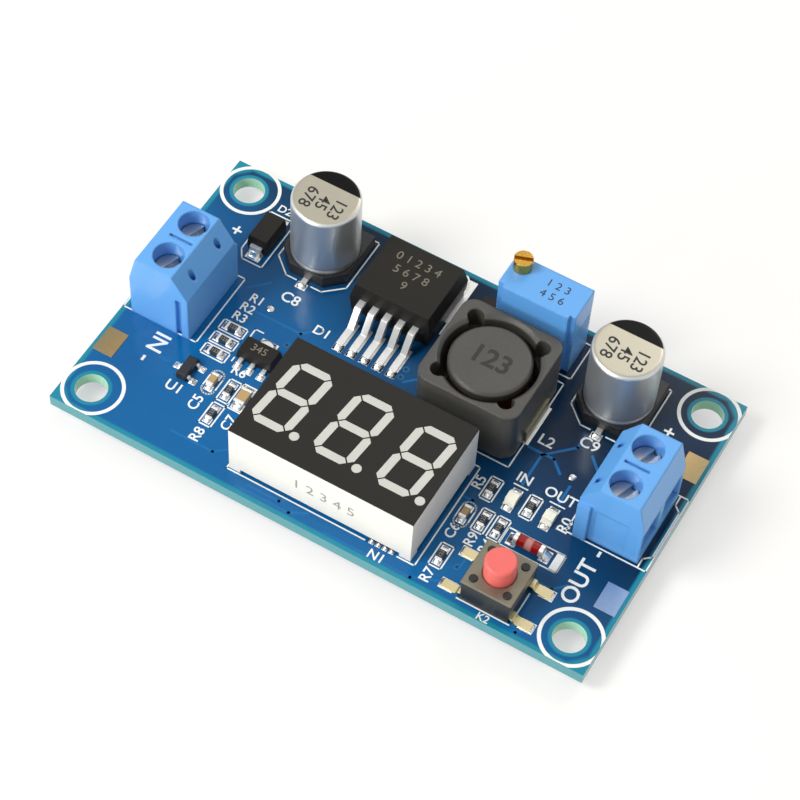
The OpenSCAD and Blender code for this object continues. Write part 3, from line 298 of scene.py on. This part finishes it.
def object_axes(tree):
    """The three Object coordinates of a point."""
    place = tree.nodes.new("ShaderNodeTexCoord")
    split = tree.nodes.new("ShaderNodeSeparateXYZ")
    tree.links.new(place.outputs["Object"], split.inputs[0])
    return split.outputs[0], split.outputs[1], split.outputs[2]


def ramp(tree, value, low, high):
    """0 below low and 1 above high, smooth between."""
    node = tree.nodes.new("ShaderNodeMapRange")
    node.interpolation_type = "SMOOTHSTEP"
    tree.links.new(value, node.inputs["Value"])
    node.inputs["From Min"].default_value = low
    node.inputs["From Max"].default_value = high
    return node.outputs["Result"]


def from_holes(tree, x, y):
    """The distance from the nearest mounting hole's axis."""
    across = maths(tree, "SUBTRACT", maths(tree, "ABSOLUTE", x), HOLE_X * MM)
    along = maths(tree, "SUBTRACT", maths(tree, "ABSOLUTE", y), HOLE_Y * MM)
    squares = maths(tree, "ADD", maths(tree, "MULTIPLY", across, across), maths(tree, "MULTIPLY", along, along))
    return maths(tree, "SQRT", squares)


def board_paint(tree, colour):
    """Blue mask over copper, darkened towards the rear and the right by a painted shade, teal where it lies on
    bare laminate, and greenish laminate at every cut edge.
    """
    x, y, z = object_axes(tree)
    from_end = maths(tree, "SUBTRACT", HALF_L * MM, maths(tree, "ABSOLUTE", x))
    from_side = maths(tree, "SUBTRACT", HALF_W * MM, maths(tree, "ABSOLUTE", y))
    margin = maths(tree, "MINIMUM", from_end, from_side)
    hole = from_holes(tree, x, y)
    corner = maths(tree, "ADD", from_end, from_side)
    bare_edge = maths(tree, "SUBTRACT", 1.0, ramp(tree, margin, 0.35 * MM, 0.75 * MM))
    bare_ring = maths(tree, "SUBTRACT", 1.0, ramp(tree, hole, 2.15 * MM, 2.4 * MM))
    bare_corner = maths(tree, "SUBTRACT", 1.0, ramp(tree, corner, 2.2 * MM, 3.2 * MM))
    bare = maths(tree, "MAXIMUM", maths(tree, "MAXIMUM", bare_edge, bare_ring), bare_corner)
    broad = tree.nodes.new("ShaderNodeTexNoise")
    broad.inputs["Scale"].default_value = 45
    place = tree.nodes.new("ShaderNodeTexCoord")
    tree.links.new(place.outputs["Object"], broad.inputs["Vector"])
    # The copper colour darkens towards the rear and the right: this is painted shade, with mottling along its
    # edge.
    rearward = maths(tree, "ADD", maths(tree, "MULTIPLY", x, 0.45), y)
    mottle = maths(tree, "MULTIPLY", broad.outputs["Fac"], 0.008)
    rear_painted_shade = ramp(tree, maths(tree, "ADD", mottle, rearward), -0.006, 0.018)
    copper = blend_colour(tree, rear_painted_shade, linear(8, 94, 152), linear(8, 40, 68))
    mask = blend_colour(tree, bare, copper, linear(30, 132, 156))
    facing = tree.nodes.new("ShaderNodeNewGeometry")
    split = tree.nodes.new("ShaderNodeSeparateXYZ")
    tree.links.new(facing.outputs["True Normal"], split.inputs[0])
    upright = maths(tree, "ABSOLUTE", split.outputs[2])
    side = maths(tree, "SUBTRACT", 1.0, ramp(tree, upright, 0.3, 0.7))
    outside = ramp(tree, hole, 2.5 * MM, 2.9 * MM)
    laminate = blend_colour(tree, outside, linear(176, 222, 196), linear(84, 150, 158))
    return blend_colour(tree, side, mask, laminate)


def can_paint(tree, colour):
    """Bare aluminium with a warm cast on top and a black segment at the rear."""
    x, y, z = object_axes(tree)
    on_top = ramp(tree, z, TOP + 10.42 * MM, TOP + 10.46 * MM)
    right_half = ramp(tree, x, -0.5 * MM, 0.5 * MM)
    between = (OUTPUT_CAPACITOR[1] - INPUT_CAPACITOR[1]) * MM
    rear = maths(tree, "ADD", maths(tree, "MULTIPLY", right_half, between), (INPUT_CAPACITOR[1] + 1.85) * MM)
    past = ramp(tree, maths(tree, "SUBTRACT", y, rear), -0.03 * MM, 0.03 * MM)
    warm = blend_colour(tree, on_top, colour, linear(186, 181, 164))
    ink = maths(tree, "MULTIPLY", on_top, past)
    return blend_colour(tree, ink, warm, linear(22, 22, 22))


def pad_paint(tree, colour):
    """Old tin, brown towards the outer end of each pad, with a painted blue reflection on the pad at the front
    right.
    """
    x, y, z = object_axes(tree)
    outer = ramp(tree, maths(tree, "ABSOLUTE", x), (HALF_L - 4) * MM, HALF_L * MM)
    aged = blend_colour(tree, outer, colour, linear(150, 134, 100))
    # The bluish tint on the pad at the front right is a painted blue reflection.
    corner = maths(tree, "MULTIPLY", ramp(tree, x, 0, MM), ramp(tree, maths(tree, "MULTIPLY", y, -1.0), 0, MM))
    return blend_colour(tree, corner, aged, linear(146, 168, 200))


def worn_solder(tree, colour):
    """Dull grey patches on bright solder."""
    noise = tree.nodes.new("ShaderNodeTexNoise")
    noise.inputs["Scale"].default_value = 900
    place = tree.nodes.new("ShaderNodeTexCoord")
    tree.links.new(place.outputs["Object"], noise.inputs["Vector"])
    return blend_colour(tree, ramp(tree, noise.outputs["Fac"], 0.45, 0.65), colour, linear(168, 170, 168))


def red_glass():
    """Clear red glass, paler in the middle where its core shows."""
    material = bpy.data.materials.new("red_glass")
    material.use_nodes = True
    tree = material.node_tree
    shader = tree.nodes["Principled BSDF"]
    shader.inputs["Roughness"].default_value = 0.05
    shader.inputs["Transmission Weight"].default_value = 0.45
    x, y, z = object_axes(tree)
    away = maths(tree, "ABSOLUTE", maths(tree, "SUBTRACT", x, GLASS_DIODE[0] * MM))
    body = blend_colour(tree, ramp(tree, away, 0.25 * MM, 0.5 * MM), linear(240, 170, 160), linear(186, 26, 24))
    tree.links.new(body, shader.inputs["Base Color"])
    return material


MATERIALS = {
    "board": finish("blue_board", linear(20, 88, 150), 0.16, tint=0.08, scale=1500, spread=0.05, bump=0.003,
                    edge=0.05, specular=0.25, paint=board_paint),
    "track": finish("covered_copper", linear(20, 104, 164), 0.16, tint=0.08, scale=1500, edge=0.03,
                    specular=0.25),
    "legend": finish("white_legend", linear(238, 240, 236), 0.5, tint=0.08, scale=9000, edge=0),
    # dark_print_and_painted_shade is real print on the parts, and also the painted shade in the mouths of the
    # small plated holes.
    "dark_print_and_painted_shade": finish("dark_print_and_painted_shade", linear(34, 34, 34), 0.6, tint=0.1, scale=9000, edge=0),
    "grey_print": finish("grey_print", linear(150, 150, 146), 0.6, tint=0.1, scale=9000, edge=0),
    "laser_print": finish("laser_print", linear(118, 112, 98), 0.7, tint=0.3, scale=9000, edge=0),
    "pad": finish("tinned_pad", linear(178, 148, 98), 0.35, 0.7, tint=0.2, scale=3000, edge=0.03,
                  paint=pad_paint),
    "solder": finish("solder", linear(226, 227, 224), 0.22, 1.0, tint=0.12, scale=2600, spread=0.2, bump=0.02,
                     edge=0.08, paint=worn_solder),
    "blue_plastic": finish("blue_plastic", linear(98, 166, 232), 0.30, tint=0.04, scale=4000, spread=0.06,
                           bump=0.004, edge=0.35),
    "brass": finish("plated_brass", linear(214, 196, 140), 0.3, 1.0, scale=3000, edge=0.08),
    "steel": finish("zinc_steel", linear(196, 197, 198), 0.32, 1.0, tint=0.15, scale=3500, bump=0.01, edge=0.1),
    "tin": finish("tin_plate", linear(240, 240, 238), 0.34, 0.7, tint=0.1, scale=3000, spread=0.15, bump=0.01,
                  edge=0.08),
    "dull_tin": finish("dull_tin", linear(128, 124, 100), 0.42, 0.7, tint=0.2, scale=3000, edge=0.08),
    "can": finish("can_aluminium", linear(214, 217, 217), 0.36, 0.85, tint=0.05, scale=1800, spread=0.08,
                  bump=0.003, edge=0.3, paint=can_paint),
    "black_plastic": finish("black_plastic", linear(26, 26, 28), 0.4, scale=4000, edge=0.12),
    "epoxy": finish("black_epoxy", linear(26, 23, 18), 0.5, tint=0.2, scale=5000, spread=0.1, bump=0.008,
                    edge=0.12, specular=0.25),
    "ferrite": finish("ferrite", linear(72, 71, 67), 0.34, tint=0.2, scale=2600, spread=0.12, bump=0.01,
                      edge=0.35),
    "copper_wire": finish("copper_wire", linear(170, 98, 48), 0.35, 0.8, scale=2500, edge=0.1),
    "screw_brass": finish("screw_brass", linear(206, 160, 72), 0.28, 1.0, scale=3500, bump=0.01, edge=0.1),
    "shell": finish("white_shell", linear(236, 234, 226), 0.45, tint=0.04, scale=3000, edge=0.1),
    "face": finish("dark_face", linear(36, 35, 32), 0.5, tint=0.12, scale=6000, bump=0.006, edge=0.03,
                   specular=0.2),
    "segment": finish("segment_grey", linear(200, 199, 192), 0.4, tint=0.12, scale=7000, spread=0.1, edge=0.04),
    "resin": finish("cast_resin", linear(206, 200, 180), 0.3, scale=2000, edge=0.1),
    "cover": finish("switch_cover", linear(128, 124, 108), 0.38, 0.7, tint=0.12, scale=3000, edge=0.2),
    "button": finish("button_red", linear(232, 106, 100), 0.42, tint=0.06, scale=4000, edge=0.2),
    "silver_lead": finish("silver_lead", linear(222, 208, 164), 0.3, 1.0, scale=3000, bump=0.01, edge=0.08),
    "lamp_white": finish("lamp_white", linear(238, 236, 226), 0.4, tint=0.08, scale=5000, edge=0.06),
    "lamp_lens": finish("lamp_lens", linear(248, 246, 226), 0.15, tint=0.1, scale=5000, edge=0.08),
    "ceramic": finish("tan_ceramic", linear(176, 146, 98), 0.45, tint=0.15, scale=5000, edge=0.08),
    "chip": finish("chip_black", linear(36, 36, 36), 0.35, tint=0.3, scale=6000, edge=0.06),
    "glass": red_glass(),
}

NODE_FINISH = {
    "circuit_board": "board", "wire_pads": "pad", "solder_joints": "solder",
    "input_terminal_housing": "blue_plastic", "output_terminal_housing": "blue_plastic",
    "input_terminal_frames": "brass", "output_terminal_frames": "brass",
    "input_capacitor_can": "can", "output_capacitor_can": "can",
    "input_capacitor_base": "black_plastic", "output_capacitor_base": "black_plastic",
    "regulator_body": "epoxy", "inductor_shield": "ferrite", "inductor_drum": "ferrite",
    "inductor_winding": "copper_wire", "trimmer_housing": "blue_plastic", "trimmer_screw": "screw_brass",
    "display_shell": "shell", "display_face": "face", "display_segments": "segment",
    "display_sealing": "resin", "switch_base": "black_plastic", "switch_cover": "cover",
    "switch_button": "button", "switch_dome": "steel", "switch_leads": "silver_lead",
    "input_diode_body": "epoxy", "catch_diode_body": "epoxy", "glass_diode_tube": "glass",
    "transistor_body": "epoxy", "reference_body": "black_plastic", "indicator_bases": "lamp_white",
    "indicator_lenses": "lamp_lens", "chip_resistors": "chip", "chip_capacitors": "ceramic",
    "resistor_arrays": "chip", "microcontroller_body": "epoxy", "inductor_clips": "dull_tin",
}


def finish_nodes():
    """Every CAD node takes a finish: those not listed are terminal steel or tinned metal."""
    for name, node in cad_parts.items():
        plain = "steel" if "_plate_" in name or "_screw_" in name else "tin"
        node.data.materials.clear()
        node.data.materials.append(MATERIALS[NODE_FINISH.get(name, plain)])


finish_nodes()


# ---- Mesh helpers ----


def add_piece(name, bm, finish_name, smooth=False):
    """Makes a fixed piece of the module from a bmesh whose places are already in metres."""
    bmesh.ops.recalc_face_normals(bm, faces=bm.faces)
    mesh = bpy.data.meshes.new(name)
    bm.to_mesh(mesh)
    bm.free()
    if smooth:
        mesh.shade_smooth()
    mesh.materials.append(MATERIALS[finish_name])
    piece = bpy.data.objects.new(name, mesh)
    scene.collection.objects.link(piece)
    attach(piece, "module")
    return piece


def bar(bm, start, end, width, low, high):
    """A flat strip between two points of the drawing, with square ends past them."""
    run = Vector(end) - Vector(start)
    middle = (Vector(start) + Vector(end)) / 2
    size = Vector((run.length + width, width, high - low)) * MM
    turn = Matrix.Rotation(math.atan2(run.y, run.x), 4, "Z")
    place = Matrix.Translation(spot(middle.x, middle.y, (low + high) / 2)) @ turn
    bmesh.ops.create_cube(bm, size=1, matrix=place @ Matrix.Diagonal((*size, 1)))


def route(bm, points, width, low, high):
    """Bars from each point to the next."""
    for start, end in zip(points, points[1:]):
        bar(bm, start, end, width, low, high)


def frame_line(bm, x0, y0, x1, y1, width, low, high):
    """A rectangle drawn in bars."""
    route(bm, [(x0, y0), (x1, y0), (x1, y1), (x0, y1), (x0, y0)], width, low, high)


def plate(bm, x, y, length, width, low, high):
    """A flat rectangle, length along X and width along Y."""
    size = Matrix.Diagonal((length * MM, width * MM, (high - low) * MM, 1))
    bmesh.ops.create_cube(bm, size=1, matrix=Matrix.Translation(spot(x, y, (low + high) / 2)) @ size)


def ring(bm, x, y, outer, inner, low, high, steps=64):
    """A flat ring, spun from its section."""
    corners = ((inner, low), (outer, low), (outer, high), (inner, high))
    verts = [bm.verts.new(spot(x + r, y, z)) for r, z in corners]
    edges = [bm.edges.new((verts[i], verts[i - 1])) for i in range(4)]
    bmesh.ops.spin(bm, geom=verts + edges, cent=spot(x, y), axis=(0, 0, 1), angle=2 * math.pi, steps=steps,
                   use_merge=True)


def make_wedge():
    """A unit fillet of solder: tall at X = 0, running out thin and a little narrower at X = 1."""
    bm = bmesh.new()
    bmesh.ops.create_cube(bm, size=1, matrix=Matrix.Translation((0.5, 0, 0.5)))
    bmesh.ops.subdivide_edges(bm, edges=bm.edges, cuts=3, use_grid_fill=True)
    for vert in bm.verts:
        run = vert.co.x
        crown = 1 - 1.6 * vert.co.y ** 2
        vert.co.z *= crown * (0.08 + 0.92 * (1 - run) ** 1.7)
        vert.co.y *= 1 - 0.25 * run ** 2
    mesh = bpy.data.meshes.new("wedge")
    bm.to_mesh(mesh)
    bm.free()
    return mesh


WEDGE = make_wedge()


def solder_wedge(bm, x, y, heading, reach, width, height, low=0.0):
    """A solder fillet whose tall end is at x, y and which runs out towards heading, in degrees."""
    count = len(bm.verts)
    bm.from_mesh(WEDGE)
    bm.verts.ensure_lookup_table()
    size = Matrix.Diagonal((reach * MM, width * MM, height * MM, 1))
    place = Matrix.Translation(spot(x, y, low)) @ Matrix.Rotation(math.radians(heading), 4, "Z") @ size
    bmesh.ops.transform(bm, matrix=place, verts=bm.verts[count:])


# ---- Printed legend ----

# Width of a printed line, top of the ink, and how far a print on a part stands off it
LINE = 0.17
INK_TOP = 0.02
PRINT_LIFT = 0.005
PRINT_DEPTH = 0.01
OUTLINES = [
    # Terminal blocks
    [(-32.87, -5.1), (-23.3, -5.1), (-23.3, 5.2), (-32.87, 5.2), (-32.87, -5.1)],
    [(32.9, -5.15), (23.3, -5.15), (23.3, 5.2), (32.9, 5.2), (32.9, -5.15)],
    [(31.9, -5.0), (31.9, -3.9), (32.7, -3.2), (32.7, 3.2), (31.9, 3.9), (31.9, 5.0)],
    # Display, open at the resistor array
    [(5.6, -17.25), (-11.6, -17.25), (-11.6, -2.9), (11.7, -2.9), (11.7, -17.25), (9.6, -17.25)],
    # Can capacitors, open at their leads
    [(-18.4, 8.16), (-19.7, 8.16), (-21.9, 10.1), (-21.9, 17.6), (-12.93, 17.6), (-12.93, 10.1), (-15.1, 8.16),
     (-16.4, 8.16)],
    [(19.5, 7.7), (18.3, 7.7), (16.1, 9.7), (16.1, 17.0), (24.9, 17.0), (24.9, 9.7), (22.7, 7.7), (21.5, 7.7)],
    # Regulator
    [(-11.4, 10.2), (-11.4, 17.9)],
    [(-0.8, 10.2), (-0.8, 17.9)],
    # Inductor
    [(1.55, -1.3), (14.25, -1.3), (14.25, 11.5), (1.55, 11.5), (1.55, -1.3)],
    # Trimmer
    [(4.1, 12.45), (14.57, 12.45), (14.57, 17.7), (4.1, 17.7), (4.1, 12.45)],
    # Flat diodes
    [(-26, 8.7), (-25.2, 7.5), (-22.6, 7.5), (-22.6, 14.95), (-26, 14.95), (-26, 8.7)],
    [(1.25, 11.9), (1.25, 17.4), (4.2, 17.4)],
    # Push button
    [(17.4, -18.3), (23.6, -18.3)],
    [(17.4, -12.1), (23.6, -12.1)],
    [(17.4, -16.5), (17.4, -13.9)],
    [(23.7, -16.5), (23.7, -13.9)],
    # Transistor
    [(-18.6, -1.7), (-18.6, -0.1), (-17.6, -0.1)],
    [(-18.6, -4.6), (-18.6, -5.1)],
    # Glass diode
    [(17.95, -10.25), (24.88, -10.25), (24.88, -7.87), (17.95, -7.87), (17.95, -10.25)],
    # Bars by the lamps
    [(15.8, -2.75), (17.4, -2.75)],
    [(20.2, -2.75), (21.9, -2.75)],
]


def add_legend():
    """The printed outlines of the parts."""
    bm = bmesh.new()
    for points in OUTLINES:
        route(bm, points, LINE, 0, INK_TOP)
    for x, y, along_y in RESISTORS:
        half = (0.75, 1.55) if along_y else (1.55, 0.75)
        frame_line(bm, x - half[0], y - half[1], x + half[0], y + half[1], LINE, 0, INK_TOP)
    for x, y, along_y in CAPACITORS:
        capsule(bm, x, y, 0.8, 1.7)
    for sign in (-1, 1):
        x, y = BIG_CAPACITOR
        route(bm, [(x - 1.0, y + sign * 1.3), (x - 1.0, y + sign * 1.8), (x + 1.0, y + sign * 1.8),
                   (x + 1.0, y + sign * 1.3)], LINE, 0, INK_TOP)
    plate(bm, 24.4, -9.06, 1.0, 2.4, 0, INK_TOP)
    add_piece("board_legend", bm, "legend")


def capsule(bm, x, y, half_w, half_l):
    """A printed outline with round ends, lying along Y."""
    steps = 8
    top = [(x + half_w * math.cos(a), y + half_l - half_w + half_w * math.sin(a))
           for a in (math.pi * i / steps for i in range(steps + 1))]
    bottom = [(2 * x - px, 2 * y - py) for px, py in top]
    route(bm, top + bottom + top[:1], LINE, 0, INK_TOP)


def add_hole_rings():
    """The printed ring round each mounting hole, cut off where the board ends."""
    bm = bmesh.new()
    for sx in (-1, 1):
        for sy in (-1, 1):
            ring(bm, sx * HOLE_X + 0.15, sy * HOLE_Y + 0.1, 3.58, 3.16, 0, INK_TOP, steps=96)
    for axis, half in ((0, HALF_L), (1, HALF_W)):
        for sign in (-1, 1):
            normal = Vector((0, 0, 0))
            normal[axis] = sign
            everything = bm.verts[:] + bm.edges[:] + bm.faces[:]
            cut = bmesh.ops.bisect_plane(bm, geom=everything, plane_co=normal * (half - 0.02) * MM,
                                         plane_no=normal, clear_outer=True)
            rim = [e for e in cut["geom_cut"] if isinstance(e, bmesh.types.BMEdge)]
            bmesh.ops.holes_fill(bm, edges=rim, sides=0)
    add_piece("hole_rings", bm, "legend")


# Words and numbers of the legend: text, X, Y, height and turn in degrees
LABELS = [
    ("IN", 16.5, -1.7, 1.25, 0), ("OUT", 20.9, -1.7, 1.25, 0),
    ("+", 27.1, 11.8, 1.7, 0), ("+", -27.8, 10.5, 1.7, 0),
    ("IN -", -26.9, -8.1, 1.9, -90), ("OUT -", 27.5, -9.1, 1.9, 90),
    ("R1", -20.6, 3.4, 1.15, 0), ("R2", -20.9, 1.85, 1.15, 0), ("R3", -21.0, 0.35, 1.15, 0),
    ("D1", -12.1, 3.4, 1.2, 0), ("D2", -24.6, 15.9, 1.0, 0),
    ("C8", -17.5, 5.5, 1.35, 0), ("C9", 20.4, 5.9, 1.35, 0),
    ("L2", 16.2, 3.8, 1.35, 0), ("K2", 20.9, -19.0, 0.9, 0),
    ("N1", 7.7, -18.4, 1.1, 0), ("R7", 13.4, -17.5, 1.15, 90),
    ("C5", -19.0, -11.85, 1.2, 90), ("R8", -16.6, -15.3, 1.2, 90), ("R5", 12.5, -4.6, 1.15, 90),
    ("C6", 13.0, -11.4, 1.15, 90), ("R9", 15.25, -11.3, 1.15, 90), ("R4", 17.0, -11.3, 1.15, 90),
    ("U1", -22.1, -11.4, 1.25, 0), ("R6", -17.1, -6.0, 1.15, 0), ("R0", 23.0, -4.6, 1.25, 90),
    ("C7", -14.5, -12.3, 1.15, 90),
]


def text_mesh(words, size, thickness, boldness=0.0):
    """Words lying in the XY plane, centred, with the given height of a capital, in metres."""
    curve = bpy.data.curves.new("words", "FONT")
    curve.body = words
    curve.align_x = "CENTER"
    curve.align_y = "CENTER"
    curve.size = size * MM / 0.7
    curve.extrude = thickness * MM / 2
    curve.offset = boldness * MM
    curve.resolution_u = 4
    holder = bpy.data.objects.new("words", curve)
    scene.collection.objects.link(holder)
    bpy.context.view_layer.update()
    mesh = bpy.data.meshes.new_from_object(holder.evaluated_get(bpy.context.evaluated_depsgraph_get()))
    bpy.data.objects.remove(holder)
    bpy.data.curves.remove(curve)
    return mesh


def stamp_text(bm, words, size, place, thickness=INK_TOP, boldness=0.0):
    """Adds words to bm, set by the matrix place."""
    mesh = text_mesh(words, size, thickness, boldness)
    mesh.transform(place)
    bm.from_mesh(mesh)
    bpy.data.meshes.remove(mesh)


def add_labels():
    """The words and numbers printed on the board."""
    bm = bmesh.new()
    for words, x, y, size, turn in LABELS:
        place = Matrix.Translation(spot(x, y, INK_TOP / 2)) @ Matrix.Rotation(math.radians(turn), 4, "Z")
        stamp_text(bm, words, size, place, boldness=0.02 * size)
    add_piece("board_labels", bm, "legend")


def on_face(x, y, high):
    """The place of a print that lies on a face at the height high."""
    return Matrix.Translation(spot(x, y, high + PRINT_LIFT))


def add_part_numbers():
    """Plain numbers on the parts that carry a print."""
    transistor = bmesh.new()
    high = (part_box("transistor_body")[1].z - TOP) / MM
    stamp_text(transistor, "345", 0.95, on_face(*TRANSISTOR, high), PRINT_DEPTH)
    add_piece("transistor_number", transistor, "laser_print")
    chips = bmesh.new()
    high = (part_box("chip_resistors")[1].z - TOP) / MM
    for x, y, along_y in RESISTORS:
        turn = Matrix.Rotation(math.pi / 2 if along_y else 0, 4, "Z")
        stamp_text(chips, "123", 0.42, on_face(x, y, high) @ turn, PRINT_DEPTH)
    add_piece("resistor_numbers", chips, "grey_print")
    coil = bmesh.new()
    stamp_text(coil, "123", 2.3, on_face(*INDUCTOR, COIL_TOP), boldness=0.07)
    add_piece("inductor_number", coil, "dark_print_and_painted_shade")
    cans = bmesh.new()
    sideways = Matrix.Rotation(-math.pi / 2, 4, "Z")
    for x, y in (INPUT_CAPACITOR, OUTPUT_CAPACITOR):
        for words, shift in (("123", 1.8), ("45", 0.0), ("678", -1.8)):
            stamp_text(cans, words, 1.4, on_face(x + shift, y - 0.9, CAN_TOP) @ sideways, PRINT_DEPTH, 0.02)
    add_piece("capacitor_numbers", cans, "dark_print_and_painted_shade")
    regulator = bmesh.new()
    for words, shift in (("0 1 2 3 4", 2.0), ("5 6 7 8", 0.2), ("9", -1.5)):
        place = on_face(REGULATOR[0], REGULATOR[1] + shift, REGULATOR_TOP)
        stamp_text(regulator, words, 1.1, place, PRINT_DEPTH)
    add_piece("regulator_numbers", regulator, "laser_print")
    trimmer = bmesh.new()
    for words, shift in (("1 2 3", 0.75), ("4 5 6", -0.85)):
        place = on_face(TRIMMER[0] + 1.2, TRIMMER[1] + shift, TRIMMER_TOP)
        stamp_text(trimmer, words, 1.0, place, PRINT_DEPTH)
    add_piece("trimmer_numbers", trimmer, "dark_print_and_painted_shade")
    display = bmesh.new()
    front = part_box("display_shell")[0].y / MM - PRINT_LIFT
    place = Matrix.Translation(spot(DISPLAY[0] + 0.5, front, 3.6)) @ Matrix.Rotation(math.pi / 2, 4, "X")
    stamp_text(display, "1 2 3 4 5", 1.5, place, PRINT_DEPTH)
    add_piece("display_numbers", display, "grey_print")


# ---- Copper, pads and solder ----

# Widths and heights of the copper, its small plated holes and the solder on it
TRACK_WIDTH = 0.32
TRACK_TOP = 0.012
VIA_OUTER = 0.42
VIA_INNER = 0.2
VIA_TOP = 0.02
# VIA_MOUTH is the height of a dark disc of painted shade in each small plated hole.
VIA_MOUTH = 0.004
VIA_STEPS = 24
PAD_TOP = 0.03
SOLDER_LOW = 0.02

# Tracks under the mask, each a list of corners, and the middles of the small plated holes
TRACKS = [
    [(-9.5, -18.6), (-3.0, -18.6), (-1.2, -17.6)], [(-8.5, -17.9), (-4.6, -17.9), (-3.9, -17.5)],
    [(1.5, -18.7), (12.0, -18.7), (15.2, -17.3)], [(-19.2, -16.3), (-14.0, -16.3), (-11.9, -14.6)],
    [(11.9, -7.0), (13.0, -7.0), (13.15, -7.6)], [(16.6, -2.4), (16.6, 2.0), (19.5, 4.9), (19.5, 6.6)],
    [(21.1, -2.4), (21.1, 0.0)], [(22.9, 1.0), (22.9, 3.2), (21.4, 4.7)],
    [(14.9, 2.2), (18.0, 2.2), (19.4, 0.9)],
    [(-21.9, 2.0), (-14.0, 2.0), (-12.6, 3.4)], [(-22.4, 4.4), (-20.6, 6.2)], [(-24.5, -8.8), (-25.6, -8.8)],
    [(-1.0, 1.0), (0.9, 1.0)], [(-1.0, 2.4), (0.6, 4.0), (0.6, 8.0)], [(15.9, -15.0), (15.9, -13.5)],
    [(26.3, -17.0), (24.6, -18.7), (18.0, -18.7)], [(24.0, -12.2), (25.4, -12.2), (26.6, -11.0)],
]
VIAS = [(-1.6, 4.0), (-1.6, 2.8), (-24.86, -8.76), (-14.52, -0.1), (15.64, -15.03), (-12.4, 3.5)]


def add_tracks():
    """The tracks that show through the mask, and the small plated holes, whose dark mouths are painted shade.
    """
    bm = bmesh.new()
    for points in TRACKS:
        route(bm, points, TRACK_WIDTH, 0, TRACK_TOP)
    for x, y in VIAS:
        ring(bm, x, y, VIA_OUTER, VIA_INNER, 0, VIA_TOP, steps=VIA_STEPS)
    add_piece("covered_tracks", bm, "track")
    # A dark disc in the mouth of each small plated hole is painted shade, where the hole's inside lies in
    # shadow.
    painted_hole_shade = bmesh.new()
    for x, y in VIAS:
        bmesh.ops.create_circle(painted_hole_shade, cap_ends=True, segments=VIA_STEPS, radius=VIA_INNER * MM,
                                matrix=Matrix.Translation(spot(x, y, VIA_MOUTH)))
    add_piece("via_painted_shade", painted_hole_shade, "dark_print_and_painted_shade")


def ends_of(x, y, along_y, half):
    """The two ends of a part and the way each one faces."""
    if along_y:
        return [(x, y + half, 90), (x, y - half, 270)]
    return [(x + half, y, 0), (x - half, y, 180)]


def lead_ends():
    """Every soldered end: X, Y, heading, reach, width and height of its fillet."""
    spots = []
    for place in RESISTORS + CAPACITORS:
        spots += [end + (0.42, 0.8, 0.36) for end in ends_of(*place, 0.8)]
    spots += [end + (0.6, 1.25, 0.6) for end in ends_of(*BIG_CAPACITOR, True, 1.0)]
    for lamp in LAMPS:
        spots += [end + (0.5, 1.0, 0.4) for end in ends_of(*lamp, True, 1.0)]
    spots += [end + (0.75, 1.4, 0.8) for end in ends_of(*GLASS_DIODE, False, 1.75)]
    for diode in (INPUT_DIODE, CATCH_DIODE):
        spots += [end + (0.8, 1.6, 0.7) for end in ends_of(*diode, True, 2.55)]
    for capacitor in (INPUT_CAPACITOR, OUTPUT_CAPACITOR):
        spots += [end + (0.55, 1.1, 0.35) for end in ends_of(*capacitor, True, 5.05)]
    spots += [(REGULATOR[0] + i * 1.7, 2.75, 270, 0.6, 1.0, 0.45) for i in range(-2, 3)]
    spots += [(TRANSISTOR[0] + i * 1.5, -5.3, 270, 0.5, 0.7, 0.35) for i in (-1, 0, 1)]
    spots += [(TRANSISTOR[0], -1.25, 90, 0.5, 1.9, 0.35)]
    spots += [(REFERENCE[0] + 1.25, REFERENCE[1] + 0.95, 0, 0.4, 0.6, 0.25),
              (REFERENCE[0] + 1.25, REFERENCE[1] - 0.95, 0, 0.4, 0.6, 0.25),
              (REFERENCE[0] - 1.25, REFERENCE[1], 180, 0.4, 0.6, 0.25)]
    spots += [(ARRAY[0] + (i - 1.5) * 0.8, ARRAY[1] - 0.8, 270, 0.35, 0.42, 0.35) for i in range(4)]
    return spots


def add_pads_and_solder():
    """A tinned pad and a fillet of solder at every soldered end."""
    pads = bmesh.new()
    joints = bmesh.new()
    for x, y, heading, reach, width, height in lead_ends():
        way = Vector((math.cos(math.radians(heading)), math.sin(math.radians(heading))))
        start = Vector((x, y)) - way * 0.3
        end = Vector((x, y)) + way * reach
        length = (end - start).length + 0.1
        span = width + 0.2
        middle = (start + end) / 2
        along = (length, span) if abs(way.x) > 0.5 else (span, length)
        plate(pads, middle.x, middle.y, along[0], along[1], 0, PAD_TOP)
        solder_wedge(joints, x, y, heading, reach, width, height, low=SOLDER_LOW)
    for i in range(-2, 3):
        plate(pads, REGULATOR[0] + i * 1.7, 4.3, 1.15, 4.3, 0, PAD_TOP)
    plate(pads, REGULATOR[0], 15.2, 11.2, 6.6, 0, PAD_TOP)
    for sx in (-1, 1):
        plate(pads, INDUCTOR[0] + sx * 6.0, INDUCTOR[1], 1.6, 5.6, 0, PAD_TOP)
        for sy in (-1, 1):
            lead_y = SWITCH[1] + sy * 2.25
            heading = 0 if sx > 0 else 180
            plate(pads, SWITCH[0] + sx * 4.75, lead_y, 1.7, 1.35, 0, PAD_TOP)
            solder_wedge(joints, SWITCH[0] + sx * 5.3, lead_y, heading, 0.35, 1.1, 0.22)
    solder_wedge(joints, REGULATOR[0], 18.05, 90, 0.5, 9.6, 0.8)
    add_piece("tinned_pads", pads, "tin")
    add_piece("solder_fillets", joints, "solder", smooth=True)


add_legend()
add_hole_rings()
add_labels()
add_part_numbers()
add_tracks()
add_pads_and_solder()
